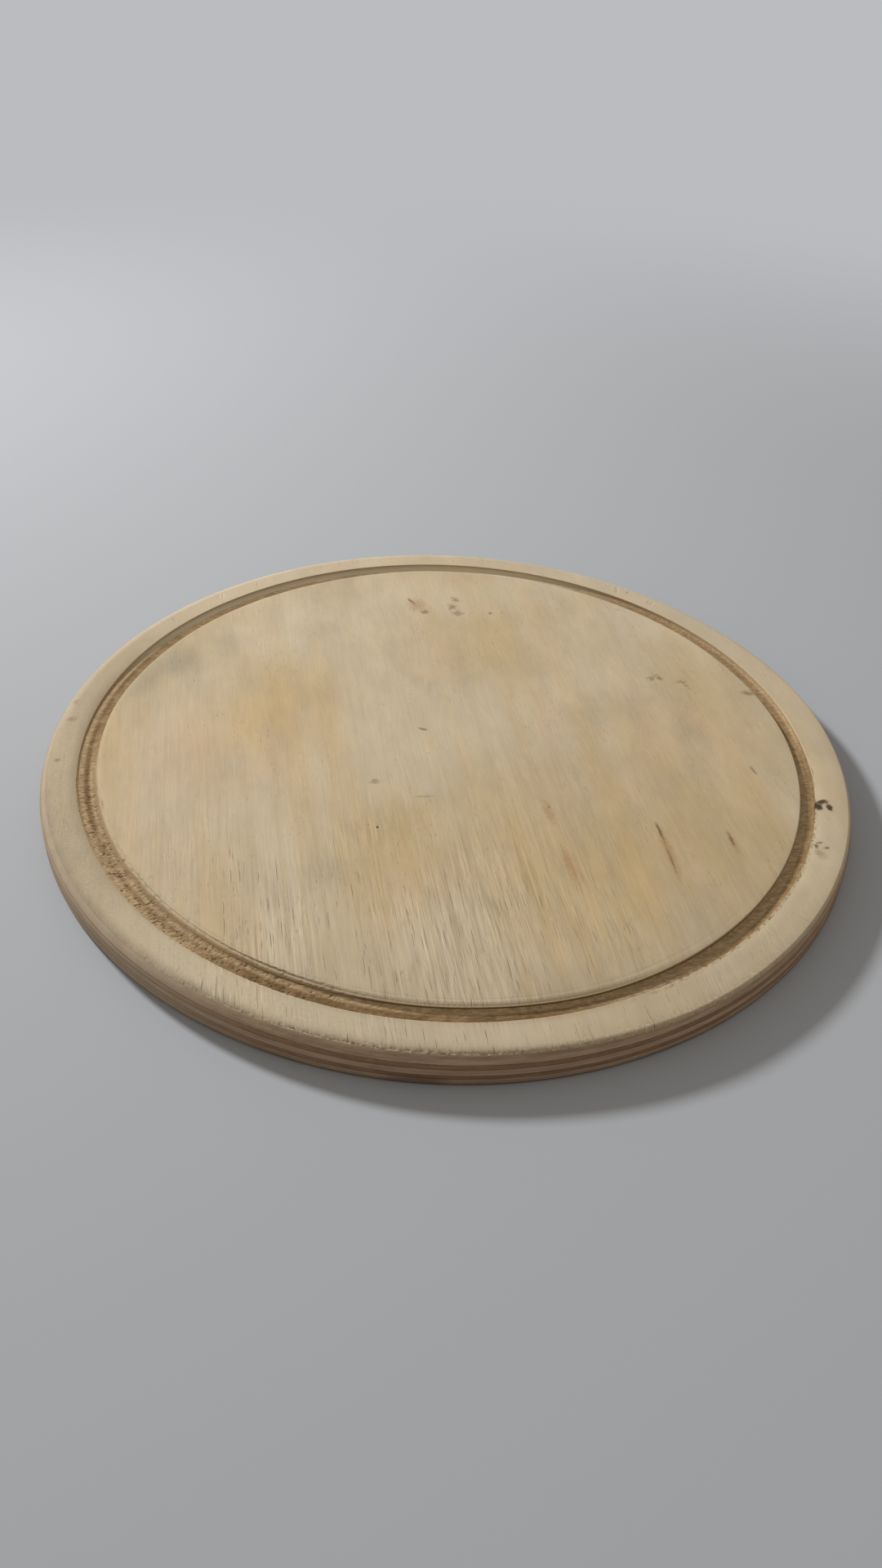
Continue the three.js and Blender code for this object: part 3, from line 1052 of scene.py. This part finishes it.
def paint_ply(graph, surface, tone_along, tone_across, extra_turn):
    """Cut edge of an inner ply or the underside: streaked along its grain, dark where cut across, with
    painted shade towards the floor and under the face veneer.
    """
    c = colours()
    across, along = grain_directions()
    coordinates, place = grain_place(graph, extra_turn)
    grain = graph.group("Peeled grain", Place=place)
    squareness = graph.ramp(cut_across(graph, across if extra_turn else along), 0.55, 1.0)
    tone = graph.mix(squareness, tone_along, tone_across)
    fibre = graph.math("MULTIPLY_ADD", grain["Fibre"], 0.3, 0.85)
    streak = graph.math("MULTIPLY_ADD", grain["Streak"], 0.5, 0.75)

    # Scuffs on the edge, painted shade towards the floor and under the face veneer, a pale stretch at
    # the left and a dark smudge at the front
    scuff = graph.noise(coordinates, (70, 70, 1500), detail=3, roughness=0.6)
    height = graph.split(coordinates)["Z"]
    flat, radius = graph.around(coordinates)
    at_edge = graph.band(radius, EDGE)
    # Painted contact shade: the edge is darker towards the floor
    darkening = graph.product(graph.band(height, (3.6, 0.8)), at_edge)
    low = graph.math("MULTIPLY_ADD", darkening, -0.34, 1.0)
    # Painted shadow: a darker band at the top of the ply, under the face veneer's edge
    under_face = graph.band(height, (9.9, 10.75), 1.0, 0.8)
    scuffed = graph.math("MULTIPLY_ADD", graph.ramp(scuff, 0.3, 0.7, -0.16, 0.14), at_edge, 1.0)
    tone = graph.shade(tone, graph.product(fibre, streak, low, under_face, scuffed))
    left = graph.product(graph.towards(flat, 196, 30, 58), at_edge, 0.6)
    tone = graph.mix(left, tone, c.pale)
    lower = graph.product(graph.band(height, (4.8, 3.2)), at_edge)
    smudge = graph.product(graph.towards(flat, 268.4, 1.0, 4.5), lower, 0.45)
    tone = graph.mix(smudge, tone, c.mark)

    # The groove's rough floor, with painted shade and light, then grime and painted shade on the edge,
    # pores, and painted shade in pits
    speckle = graph.noise(place, (1500, 420, 1500), detail=3, roughness=0.7)
    rough = graph.product(fibre, streak, graph.ramp(speckle, 0.36, 0.68, 0.74, 1.24))
    bare, browned_and_shaded = graph.shade(c.groove, rough), graph.shade(c.scorch_and_shade, rough)
    tone = brown_and_shade_groove(graph, coordinates, tone, bare, browned_and_shaded)
    tone = soil_and_shade_edge(graph, coordinates, tone, 0.3)
    tone = graph.mix(graph.product(grain["Pore"], 0.3), tone, c.pore_and_shade)
    # Painted shade in pits, checks, scratches and tears
    tone = graph.mix(graph.product(pit_mask(graph), 0.6), tone, c.pore_and_shade)
    set_surface(graph, surface, tone, roughness=0.85, specular=0.15)
    add_bump(graph, surface, grain["Fibre"])


def paint_glue(graph, surface):
    """Hardened glue line, a dark resin with a slight sheen."""
    place = grain_place(graph)[1]
    blotch = graph.noise(place, (700, 700, 700), detail=3)
    tone = graph.mix(graph.ramp(blotch, 0.35, 0.7), colours().glue, colours().pore_and_shade)
    set_surface(graph, surface, tone, roughness=0.65, specular=0.2)


def scaled(tone, share):
    """A colour made darker or lighter."""
    return tuple(value * share for value in tone)


def face_material():
    return painted("Face veneer", paint_face)


def crossband_material():
    wood = colours().crossband
    return painted("Crossband", paint_ply, wood, scaled(wood, 0.9), QUARTER_TURN)


def longband_material():
    wood = colours().longband
    return painted("Long band", paint_ply, scaled(wood, 1.6), wood, 0.0)


def back_material():
    wood = colours().back
    return painted("Back veneer", paint_ply, wood, scaled(wood, 0.5), 0.0)


def glue_material():
    return painted("Glue line", paint_glue)


# How many lines along the face have checks, how many each has, and how many the rim has at each end
# of the grain.
CHECKED_LINES = 48
CHECKS_ON_A_LINE = 2
FAINT_RIM_CHECKS = 34

# Depth of the saw's marks on the edge, and how far the face's flat stops short of the tool line.
SAW_DEPTH = 0.04 * MM
TOOL_LINE_MARGIN = 0.3 * MM

# Steps round the whole plies and round the glue films.
PLY_STEPS = 900
GLUE_STEPS = 720


def plan_face_checks(rng, flat_radius):
    """Checks in the face inside the groove, each starting near the front end of its line."""
    checks = []
    for _ in range(CHECKED_LINES):
        side = rng.uniform(-0.7, 0.34) * flat_radius
        chord = math.sqrt(flat_radius ** 2 - side ** 2)
        for _ in range(CHECKS_ON_A_LINE):
            start = -chord + rng.uniform(0.02, 1.0) ** 1.4 * 48 * MM
            reach = rng.uniform(2.5, 8) * MM
            depth = sizes().check_depth * rng.uniform(0.3, 1.0)
            checks.append(Check(side, start, start + reach, depth))
    return checks


def make_face_center():
    """The face veneer inside the groove: columns along the grain, a worn shoulder and a wall.
    """
    s = sizes()
    bottom, top = layer_heights("face_veneer_center")
    lip_start = groove_radius() - groove_half_width_at(top)
    tool_line = lip_start - s.shoulder_width
    flat_radius = tool_line - TOOL_LINE_MARGIN
    checks = plan_face_checks(random.Random(s.seed), flat_radius)
    plain = [flat_radius * math.sin(t) for t in spread(-QUARTER_TURN, QUARTER_TURN, 130)]
    plain += spread(-0.97 * flat_radius, 0.42 * flat_radius, 430)
    columns = plan_columns(plain, checks, s.check_half_width)
    rows = spread(-1, -0.5, 44)[:-1] + eased(-0.5, 1, 32)
    piece = start_piece(
        "face_veneer_center_piece",
        bpy.ops.mesh.primitive_grid_add,
        x_subdivisions=len(columns) - 1,
        y_subdivisions=len(rows) - 1,
        size=2,
        location=(0, 0, top),
    )
    across, along = grain_directions()
    mesh = bmesh.from_edit_mesh(piece.data)
    pit = mesh.verts.layers.float.new("pit")
    for vertex in mesh.verts:
        column = columns[round((vertex.co.x + 1) / 2 * (len(columns) - 1))]
        row = rows[round((vertex.co.y + 1) / 2 * (len(rows) - 1))]
        side = max(-flat_radius, min(flat_radius, column.place))
        chord = math.sqrt(flat_radius ** 2 - side ** 2)
        run = row * chord
        sink, vertex[pit] = check_relief(column, run)
        ridges = wave(side / MM / 0.8, run / MM / 22, 3)
        height = top - sink + 0.012 * MM * ridges * (1 - abs(row) ** 8)
        vertex.co = across * side + along * run + Vector((0, 0, height))
    bmesh.update_edit_mesh(piece.data)
    bpy.ops.mesh.remove_doubles(threshold=TOUCHING)
    bpy.ops.mesh.select_all(action="DESELECT")
    bpy.ops.mesh.select_mode(type="EDGE")
    bpy.ops.mesh.select_non_manifold()
    worn_radii = spread(tool_line + TOOL_LINE_MARGIN, lip_start, 9)
    shoulder = [(radius, top) for radius in [flat_radius, tool_line] + worn_radii]
    wall = list(reversed(groove_section(-1, bottom, top, 5)))
    rings = shoulder + wall[1:]
    for old, new in zip(rings, rings[1:]):
        grow = new[0] / old[0]
        bpy.ops.mesh.extrude_region_move(TRANSFORM_OT_translate={"value": (0, 0, new[1] - old[1])})
        bpy.ops.transform.resize(value=(grow, grow, 1), center_override=(0, 0, 0))
    bpy.ops.mesh.extrude_region_move(TRANSFORM_OT_translate={"value": (0, 0, 0)})
    bpy.ops.mesh.merge(type="CENTER")
    close_piece()
    wear_face_lip(piece, flat_radius, tool_line, lip_start)
    finish_piece(piece, "face_veneer_center", face_material())


def wear_face_lip(piece, flat_radius, tool_line, lip_start):
    """Wears the face down towards the groove, scratches the tool line and tears the lip and wall."""
    s = sizes()
    bottom, top = layer_heights("face_veneer_center")
    slope_start = tool_line + 0.7 * MM
    torn_start = lip_start - 0.8 * MM
    points = read_points(piece)
    pits = np.empty(len(points), dtype=np.float32)
    piece.data.attributes["pit"].data.foreach_get("value", pits)
    for i, (x, y, z) in enumerate(points):
        radius = math.hypot(x, y)
        if radius < flat_radius + 5 * TOUCHING or z < bottom + TOUCHING:
            continue
        soft = facing(x, y, LEANING_LIP)
        fall = s.shoulder_drop * (0.1 + 0.9 * max(facing(x, y, WORN_FRONT), 0.6 * soft))
        slope = max(0.0, min(1.0, (radius - slope_start) / (lip_start - slope_start)))
        crumb = crumbs(x, y, z) * facing(x, y, TORN_QUARTER)
        torn = smooth_step(flat_radius, torn_start, radius)
        new_radius = radius + lip_offset(x, y) * slope
        if radius > lip_start - MERGE_DISTANCE:
            new_radius -= s.lip_lean * soft * (z - bottom) / (top - bottom)
            z = bottom + (z - bottom) * (1 - fall / (top - bottom))
            new_radius -= s.crumb_depth * crumb
        else:
            z -= fall * slope ** 2
            z -= 0.8 * s.crumb_depth * crumb * torn
            outward = 0.8 * MM * facing(x, y, NARROW_SHOULDER) * (1 - slope)
            new_radius += outward - s.lip_lean * soft * slope
        pits[i] = 0.5 * crumb * torn
        if abs(radius - tool_line) < 10 * TOUCHING:
            broken = 0.7 + 0.6 * noise.noise(Vector((x, y, 0)) / MM / 6)
            scratch = facing(x, y, SCRATCHED_FRONT) * broken
            z -= s.tool_line_depth * scratch
            pits[i] = 0.3 * scratch
        points[i] = x * new_radius / radius, y * new_radius / radius, z
    write_points(piece, points)
    write_pits(piece, pits)


# Checks across the rim's land that stand out: azimuth in degrees, start and end in millimetres from
# the board's middle, and depth as a share of the face's deepest checks.
RIM_CHECKS = (
    (241.2, 143.4, 146.4, 1.2),
    (243.2, 140.4, 146.6, 1.5),
    (244.3, 142.8, 146.2, 1.4),
    (245.8, 143.4, 146.8, 1.2),
    (246.2, 137.8, 140.8, 1.3),
    (249.0, 137.6, 145.0, 1.6),
    (252.8, 141.4, 144.4, 0.9),
    (260.1, 144.8, 147.3, 1.6),
    (264.8, 140.6, 143.4, 0.9),
    (267.2, 139.4, 142.6, 0.9),
    (269.2, 139.4, 144.2, 1.1),
    (269.5, 145.6, 147.4, 1.6),
    (273.9, 139.8, 143.6, 1.1),
    (276.4, 139.8, 144.4, 1.1),
    (276.9, 144.6, 147.0, 1.6),
    (287.0, 140.4, 145.0, 1.0),
    (288.5, 142.0, 146.0, 1.0),
    (296.2, 140.8, 147.4, 1.5),
    (299.4, 139.6, 142.6, 1.1),
    (305.4, 145.8, 147.4, 1.5),
)


def plan_rim_checks(rng):
    """Checks across the rim: those that stand out, and faint ones where the grain meets the edge."""
    s = sizes()
    checks = []
    for degrees, start, end, depth in RIM_CHECKS:
        checks.append(Check(math.radians(degrees), start * MM, end * MM, s.check_depth * depth))
    along_grain = math.radians(90) + s.grain_turn
    for end in (along_grain, along_grain + math.pi):
        for _ in range(FAINT_RIM_CHECKS):
            azimuth = (end + rng.uniform(-0.9, 0.9)) % FULL_TURN
            squareness = abs(math.cos(azimuth - along_grain))
            start = rng.uniform(138, 145) * MM
            reach = rng.uniform(1.5, 4.5) * MM
            depth = s.check_depth * rng.uniform(0.3, 0.8) * squareness
            checks.append(Check(azimuth, start, start + reach, depth))
    return checks


def degrees_between(first, last, count):
    """Angles in radians from first to last, given in degrees."""
    return [math.radians(a) % FULL_TURN for a in spread(first, last, count)]


def make_face_rim():
    """The face veneer outside the groove: a ring with an eased lip and a rounded, torn edge."""
    s = sizes()
    bottom, top = layer_heights("face_veneer_rim")
    low = [(edge_radius_at(h), h) for h in spread(bottom, bottom + 0.45 * MM, 6)]
    outer = low[:-1] + edge_section(low[-1][1], top, 9)
    inner = list(reversed(groove_section(1, bottom, top, 4)))
    land = [(r, top) for r in eased(outer[-1][0], inner[0][0], 12)][1:-1]
    checks = plan_rim_checks(random.Random(s.seed + 1))
    plain = degrees_between(0, 359.2, 450)
    for first, last, count in ((196, 256, 420), (222, 322, 900), (312, 350, 150), (60, 128, 120)):
        plain += degrees_between(first, last, count)
    columns = plan_columns(plain, checks, s.check_half_width / BOARD_RADIUS)
    piece = turn("face_veneer_rim_piece", outer + land + inner, len(columns))
    along_grain = math.radians(90) + s.grain_turn
    lip_end = inner[0][0]
    slope_width = 4.2 * MM
    torn_width = 1.2 * MM
    middle = (lip_end + BOARD_RADIUS) / 2
    round_start = BOARD_RADIUS - s.top_edge_radius

    def wear(column, azimuth, radius, height):
        x, y = radius * math.cos(azimuth), radius * math.sin(azimuth)
        squareness = math.cos(azimuth - along_grain) ** 2
        lean = max(-0.8, min(0.8, math.tan(along_grain - azimuth)))
        lean *= smooth_step(0.3, 0.7, squareness)
        turned = azimuth + lean * (radius - middle) / middle
        if height < bottom + TOUCHING and radius < edge_radius_at(bottom) - TOUCHING:
            return turned, radius, height, 0.0
        fall = rim_fall(x, y)
        if radius < lip_end - MERGE_DISTANCE:
            torn = max(facing(x, y, TORN_QUARTER), 1.4 * facing(x, y, CRUMBLED_WALL))
            crumb = crumbs(x, y, height) * torn
            height = bottom + (height - bottom) * (1 - fall / (top - bottom))
            return turned, radius + 0.5 * fall + 0.9 * s.crumb_depth * crumb, height, 0.5 * crumb
        sink, dark = check_relief(column, radius)
        dark *= 0.65
        toward = max(0.0, 1 - (radius - lip_end) / slope_width)
        sink += fall * toward ** 2
        radius += 0.5 * fall * toward ** 2
        if radius < lip_end + torn_width:
            crumb = crumbs(x, y, height) * facing(x, y, CRUMBLED_LIP)
            sink += 0.8 * s.crumb_depth * crumb
            dark = max(dark, 0.5 * crumb)
        if radius <= round_start:
            return turned, radius, height - sink, dark
        arc = azimuth * BOARD_RADIUS / MM
        above = (height - bottom) / MM
        cut = math.sqrt(squareness) * facing(x, y, RAGGED_FRONT)
        lump = wave(arc / 1.1, above / 0.6, 3) + 0.6 * wave(arc / 0.4, above / 0.25, 8)
        sink += s.lump_height * cut * (1 + lump) * (1 - 0.8 * smooth_step(0.1, 0.85, above))
        ragged = wave(arc / 2.4, 0, 5) + 0.6 * wave(arc / 0.8, 4, 5)
        tear = smooth_step(0.1, 0.8, ragged) * cut * (1 - smooth_step(0.0, 0.6, above))
        sink += s.tear_depth * tear
        dark = max(dark, 0.2 * tear)
        if height < bottom + TOUCHING:
            return turned, fuller_edge(x, y, radius - sink, height), height, dark
        slope = (radius - round_start) / s.top_edge_radius
        new_radius = fuller_edge(x, y, radius - sink * slope, height)
        return turned, new_radius, height - sink * math.sqrt(1 - slope * slope), dark

    wear_turned(piece, columns, wear)
    finish_piece(piece, "face_veneer_rim", face_material())


def even_columns(count):
    """Plain columns all round, without checks."""
    return [Column(FULL_TURN * i / count, [], 0) for i in range(count)]


def saw_marks(azimuth, height, pitch, variant):
    """How far the saw's marks stand back from the edge, about a pitch apart in millimetres."""
    arc = azimuth * BOARD_RADIUS / MM
    return SAW_DEPTH * (1 + wave(arc / pitch, height / MM / 0.8, variant))


def make_disc(node, material):
    """A whole layer: a disc turned from its edge, which is left slightly uneven by the saw."""
    bottom, top = layer_heights(node)
    section = [(0, bottom)] + edge_section(bottom, top, 6) + [(0, top)]
    piece = turn(node + "_piece", section, PLY_STEPS)

    def wear(column, azimuth, radius, height):
        radius = fuller_edge(math.cos(azimuth), math.sin(azimuth), radius, height)
        return azimuth, radius - saw_marks(azimuth, height, 9, 2), height, 0.0

    wear_turned(piece, even_columns(PLY_STEPS), wear)
    finish_piece(piece, node, material)


def make_upper_crossband():
    """The second veneer, with the groove's rough floor in its top."""
    s = sizes()
    bottom, top = layer_heights("upper_crossband")
    floor = groove_floor()
    outer_wall = list(reversed(groove_section(1, floor, top, 7)))
    inner_wall = groove_section(-1, floor, top, 7)
    flat = [(r, floor) for r in spread(outer_wall[-1][0], inner_wall[0][0], 8)][1:-1]
    groove = outer_wall + flat + inner_wall
    section = [(0, bottom)] + edge_section(bottom, top, 7) + groove + [(0, top)]
    plain = degrees_between(0, 359.2, 450) + degrees_between(190, 266, 760)
    columns = plan_columns(plain, [], s.check_half_width / BOARD_RADIUS)
    piece = turn("upper_crossband_piece", section, len(columns))
    reach = groove_half_width_at(top) + MERGE_DISTANCE

    def wear(column, azimuth, radius, height):
        x, y = radius * math.cos(azimuth), radius * math.sin(azimuth)
        if abs(radius - groove_radius()) < reach and height > floor - MERGE_DISTANCE:
            soft = facing(x, y, SOFT_LEFT)
            crumb = crumbs(x, y, height) * (0.15 + 0.85 * facing(x, y, TORN_QUARTER))
            above = (height - floor) / (top - floor)
            inner_side = radius < groove_radius()
            shift = lip_offset(x, y) * above if inner_side else -0.5 * s.rim_drop * soft * above
            shift += 0.8 * MM * soft * (1 - above) * min(1.0, abs(radius - groove_radius()) / MM)
            radius += shift if inner_side else -shift
            height += s.floor_rise * facing(x, y, SHALLOW_LEFT) * (1 - above)
            sink = s.crumb_depth * crumb if above < 0.999 else 0.0
            return azimuth, radius, height - sink, 0.7 * crumb
        if radius < BOARD_RADIUS - 4 * MM:
            return azimuth, radius, height, 0.0
        under_face = 0.12 * MM * smooth_step(top - 0.4 * MM, top, height)
        shrink = saw_marks(azimuth, height, 7, 7) + under_face
        return azimuth, fuller_edge(x, y, radius, height) - shrink, height, 0.0

    wear_turned(piece, columns, wear)
    finish_piece(piece, "upper_crossband", crossband_material())


# The glue films that reach across the whole board, from the top down.
WHOLE_GLUE_FILMS = (
    "upper_crossband_glue",
    "upper_core_glue",
    "lower_core_glue",
    "lower_crossband_glue",
    "back_glue",
)


def make_glue_film(node, section, wear):
    """One glue film, turned from its section and worn as the veneers beside it are."""
    piece = turn(node + "_piece", section, GLUE_STEPS)
    wear_turned(piece, even_columns(GLUE_STEPS), wear)
    finish_piece(piece, node, glue_material())


def make_glue_films():
    """The glue lines between the veneers, the one at the groove in two parts."""
    s = sizes()

    def wear_edge(column, azimuth, radius, height):
        radius = fuller_edge(math.cos(azimuth), math.sin(azimuth), radius, height)
        return azimuth, radius, height, 0.0

    def wear_center(column, azimuth, radius, height):
        radius += lip_offset(math.cos(azimuth), math.sin(azimuth)) - 0.25 * MM
        return azimuth, max(0.0, radius), height, 0.0

    def wear_ring(column, azimuth, radius, height):
        x, y = math.cos(azimuth), math.sin(azimuth)
        if radius < BOARD_RADIUS - s.top_edge_radius:
            return azimuth, radius + 0.5 * rim_fall(x, y) + 0.2 * MM, height, 0.0
        return azimuth, fuller_edge(x, y, radius, height), height, 0.0

    for node in WHOLE_GLUE_FILMS:
        bottom, top = layer_heights(node)
        section = [(0, bottom)] + edge_section(bottom, top, 2) + [(0, top)]
        make_glue_film(node, section, wear_edge)
    bottom, top = layer_heights("face_glue_center")
    section = [(0, bottom)] + groove_section(-1, bottom, top, 2) + [(0, top)]
    make_glue_film("face_glue_center", section, wear_center)
    outer = [(radius - 0.6 * MM, height) for radius, height in edge_section(bottom, top, 2)]
    ring = outer + list(reversed(groove_section(1, bottom, top, 2)))
    make_glue_film("face_glue_rim", ring, wear_ring)


def blend_in_backdrop(graph, share, shader, output):
    """Shows the backdrop's colour, by a share, in place of a shader to rays that look straight at it."""
    seen = graph.add("ShaderNodeEmission")
    seen.inputs["Color"].default_value = (*stage_settings().backdrop, 1)
    path = graph.add("ShaderNodeLightPath").outputs
    direct = graph.math("MAXIMUM", path["Is Camera Ray"], path["Is Glossy Ray"])
    direct = graph.math("MAXIMUM", direct, path["Is Transmission Ray"])
    blend = graph.add("ShaderNodeMixShader")
    graph.feed(blend.inputs[0], graph.product(direct, share))
    graph.tree.links.new(shader.outputs[0], blend.inputs[1])
    graph.tree.links.new(seen.outputs[0], blend.inputs[2])
    graph.tree.links.new(blend.outputs[0], graph.tree.nodes[output].inputs["Surface"])


def make_floor():
    """A plain floor that fades into the backdrop well away from the board and its shadow."""
    s = stage_settings()
    bpy.ops.object.select_all(action="DESELECT")
    bpy.ops.mesh.primitive_plane_add(size=FLOOR_WIDTH, location=(0, 0, 0))
    floor = bpy.context.object
    floor.name = "floor"
    material, graph, surface = new_material("Floor")
    set_surface(graph, surface, s.floor, roughness=0.8, specular=0.2)
    place = graph.add("ShaderNodeTexCoord").outputs["Object"]
    away = graph.ramp(graph.vector("LENGTH", place), s.floor_fade_start, s.floor_fade_end)
    blend_in_backdrop(graph, away, surface, "Material Output")
    floor.data.materials.append(material)


def make_camera():
    """The camera, in front of the board and above it."""
    s = stage_settings()
    toward = Vector((0, -math.cos(s.camera_elevation), math.sin(s.camera_elevation)))
    eye = toward * s.camera_distance
    look = (Vector(s.camera_aim) - eye).to_track_quat("-Z", "Y")
    bpy.ops.object.camera_add(location=eye)
    camera = bpy.context.object
    camera.rotation_mode = "QUATERNION"
    camera.rotation_quaternion = look @ Quaternion((0, 0, 1), s.camera_roll)
    camera.data.sensor_width = SENSOR_WIDTH
    camera.data.lens = s.focal_length
    camera.data.clip_start = CLIP_START
    bpy.context.scene.camera = camera


def make_lights():
    """A round soft lamp behind the board on the left, as strong at the board whatever its beam."""
    s = stage_settings()
    flat = math.cos(s.key_elevation)
    x, y = math.cos(s.key_azimuth) * flat, math.sin(s.key_azimuth) * flat
    toward = Vector((x, y, math.sin(s.key_elevation)))
    bpy.ops.object.light_add(type="AREA", location=toward * s.key_distance)
    lamp = bpy.context.object
    lamp.name = "key_lamp"
    lamp.rotation_mode = "QUATERNION"
    lamp.rotation_quaternion = toward.to_track_quat("Z", "Y")
    lamp.data.shape = "DISK"
    lamp.data.size = 2 * s.key_distance * math.tan(s.key_spread / 2)
    lamp.data.spread = s.key_beam
    half_beam = s.key_beam / 2
    gain = math.pi / 2 / (math.tan(half_beam) - half_beam)
    lamp.data.energy = s.key * math.pi * s.key_distance ** 2 / gain
    lamp.data.color = LAMP_TINT


def make_world():
    """Even warm light from all round, seen as the plain backdrop."""
    world = bpy.data.worlds.new("Even light")
    bpy.context.scene.world = world
    world.use_nodes = True
    graph = Graph(world.node_tree)
    fill = world.node_tree.nodes["Background"]
    fill.inputs["Color"].default_value = (*FILL_TINT, 1)
    fill.inputs["Strength"].default_value = stage_settings().fill
    blend_in_backdrop(graph, 1.0, fill, "World Output")


class BOARD_OT_face_center(bpy.types.Operator):
    """Make the face veneer inside the groove"""

    bl_idname = "board.face_center"
    bl_label = "Face Veneer Centre"

    def execute(self, context):
        make_face_center()
        return {"FINISHED"}


class BOARD_OT_face_rim(bpy.types.Operator):
    """Make the face veneer outside the groove"""

    bl_idname = "board.face_rim"
    bl_label = "Face Veneer Rim"

    def execute(self, context):
        make_face_rim()
        return {"FINISHED"}


class BOARD_OT_upper_crossband(bpy.types.Operator):
    """Make the second veneer, with the groove's floor"""

    bl_idname = "board.upper_crossband"
    bl_label = "Upper Crossband"

    def execute(self, context):
        make_upper_crossband()
        return {"FINISHED"}


class BOARD_OT_lower_plies(bpy.types.Operator):
    """Make the five whole plies below the groove"""

    bl_idname = "board.lower_plies"
    bl_label = "Lower Plies"

    def execute(self, context):
        make_disc("upper_longband", longband_material())
        make_disc("core_ply", crossband_material())
        make_disc("lower_longband", longband_material())
        make_disc("lower_crossband", crossband_material())
        make_disc("back_veneer", back_material())
        return {"FINISHED"}


class BOARD_OT_glue_films(bpy.types.Operator):
    """Make the glue lines between the veneers"""

    bl_idname = "board.glue_films"
    bl_label = "Glue Films"

    def execute(self, context):
        make_glue_films()
        return {"FINISHED"}


class BOARD_OT_stage(bpy.types.Operator):
    """Make the floor, the lights and the camera"""

    bl_idname = "board.stage"
    bl_label = "Stage"

    def execute(self, context):
        context.scene.view_settings.view_transform = "Standard"
        make_floor()
        make_lights()
        make_world()
        make_camera()
        return {"FINISHED"}


STEPS = ("face_center", "face_rim", "upper_crossband", "lower_plies", "glue_films", "stage")


class BOARD_PT_panel(bpy.types.Panel):
    """Lists the steps that build the board"""

    bl_idname = "BOARD_PT_panel"
    bl_label = "Pizza Board"
    bl_space_type = "VIEW_3D"
    bl_region_type = "UI"
    bl_category = "Board"

    def draw(self, context):
        for step in STEPS:
            self.layout.operator("board." + step)


CLASSES = (
    BoardSizes,
    BoardColours,
    StageSettings,
    BOARD_OT_face_center,
    BOARD_OT_face_rim,
    BOARD_OT_upper_crossband,
    BOARD_OT_lower_plies,
    BOARD_OT_glue_films,
    BOARD_OT_stage,
    BOARD_PT_panel,
)


def register():
    for each in CLASSES:
        bpy.utils.register_class(each)
    bpy.types.Scene.board_sizes = PointerProperty(type=BoardSizes)
    bpy.types.Scene.board_colours = PointerProperty(type=BoardColours)
    bpy.types.Scene.board_stage = PointerProperty(type=StageSettings)


def unregister():
    del bpy.types.Scene.board_stage
    del bpy.types.Scene.board_colours
    del bpy.types.Scene.board_sizes
    for each in reversed(CLASSES):
        bpy.utils.unregister_class(each)


def main():
    register()
    for step in STEPS:
        getattr(bpy.ops.board, step)()


if __name__ == "__main__":
    main()
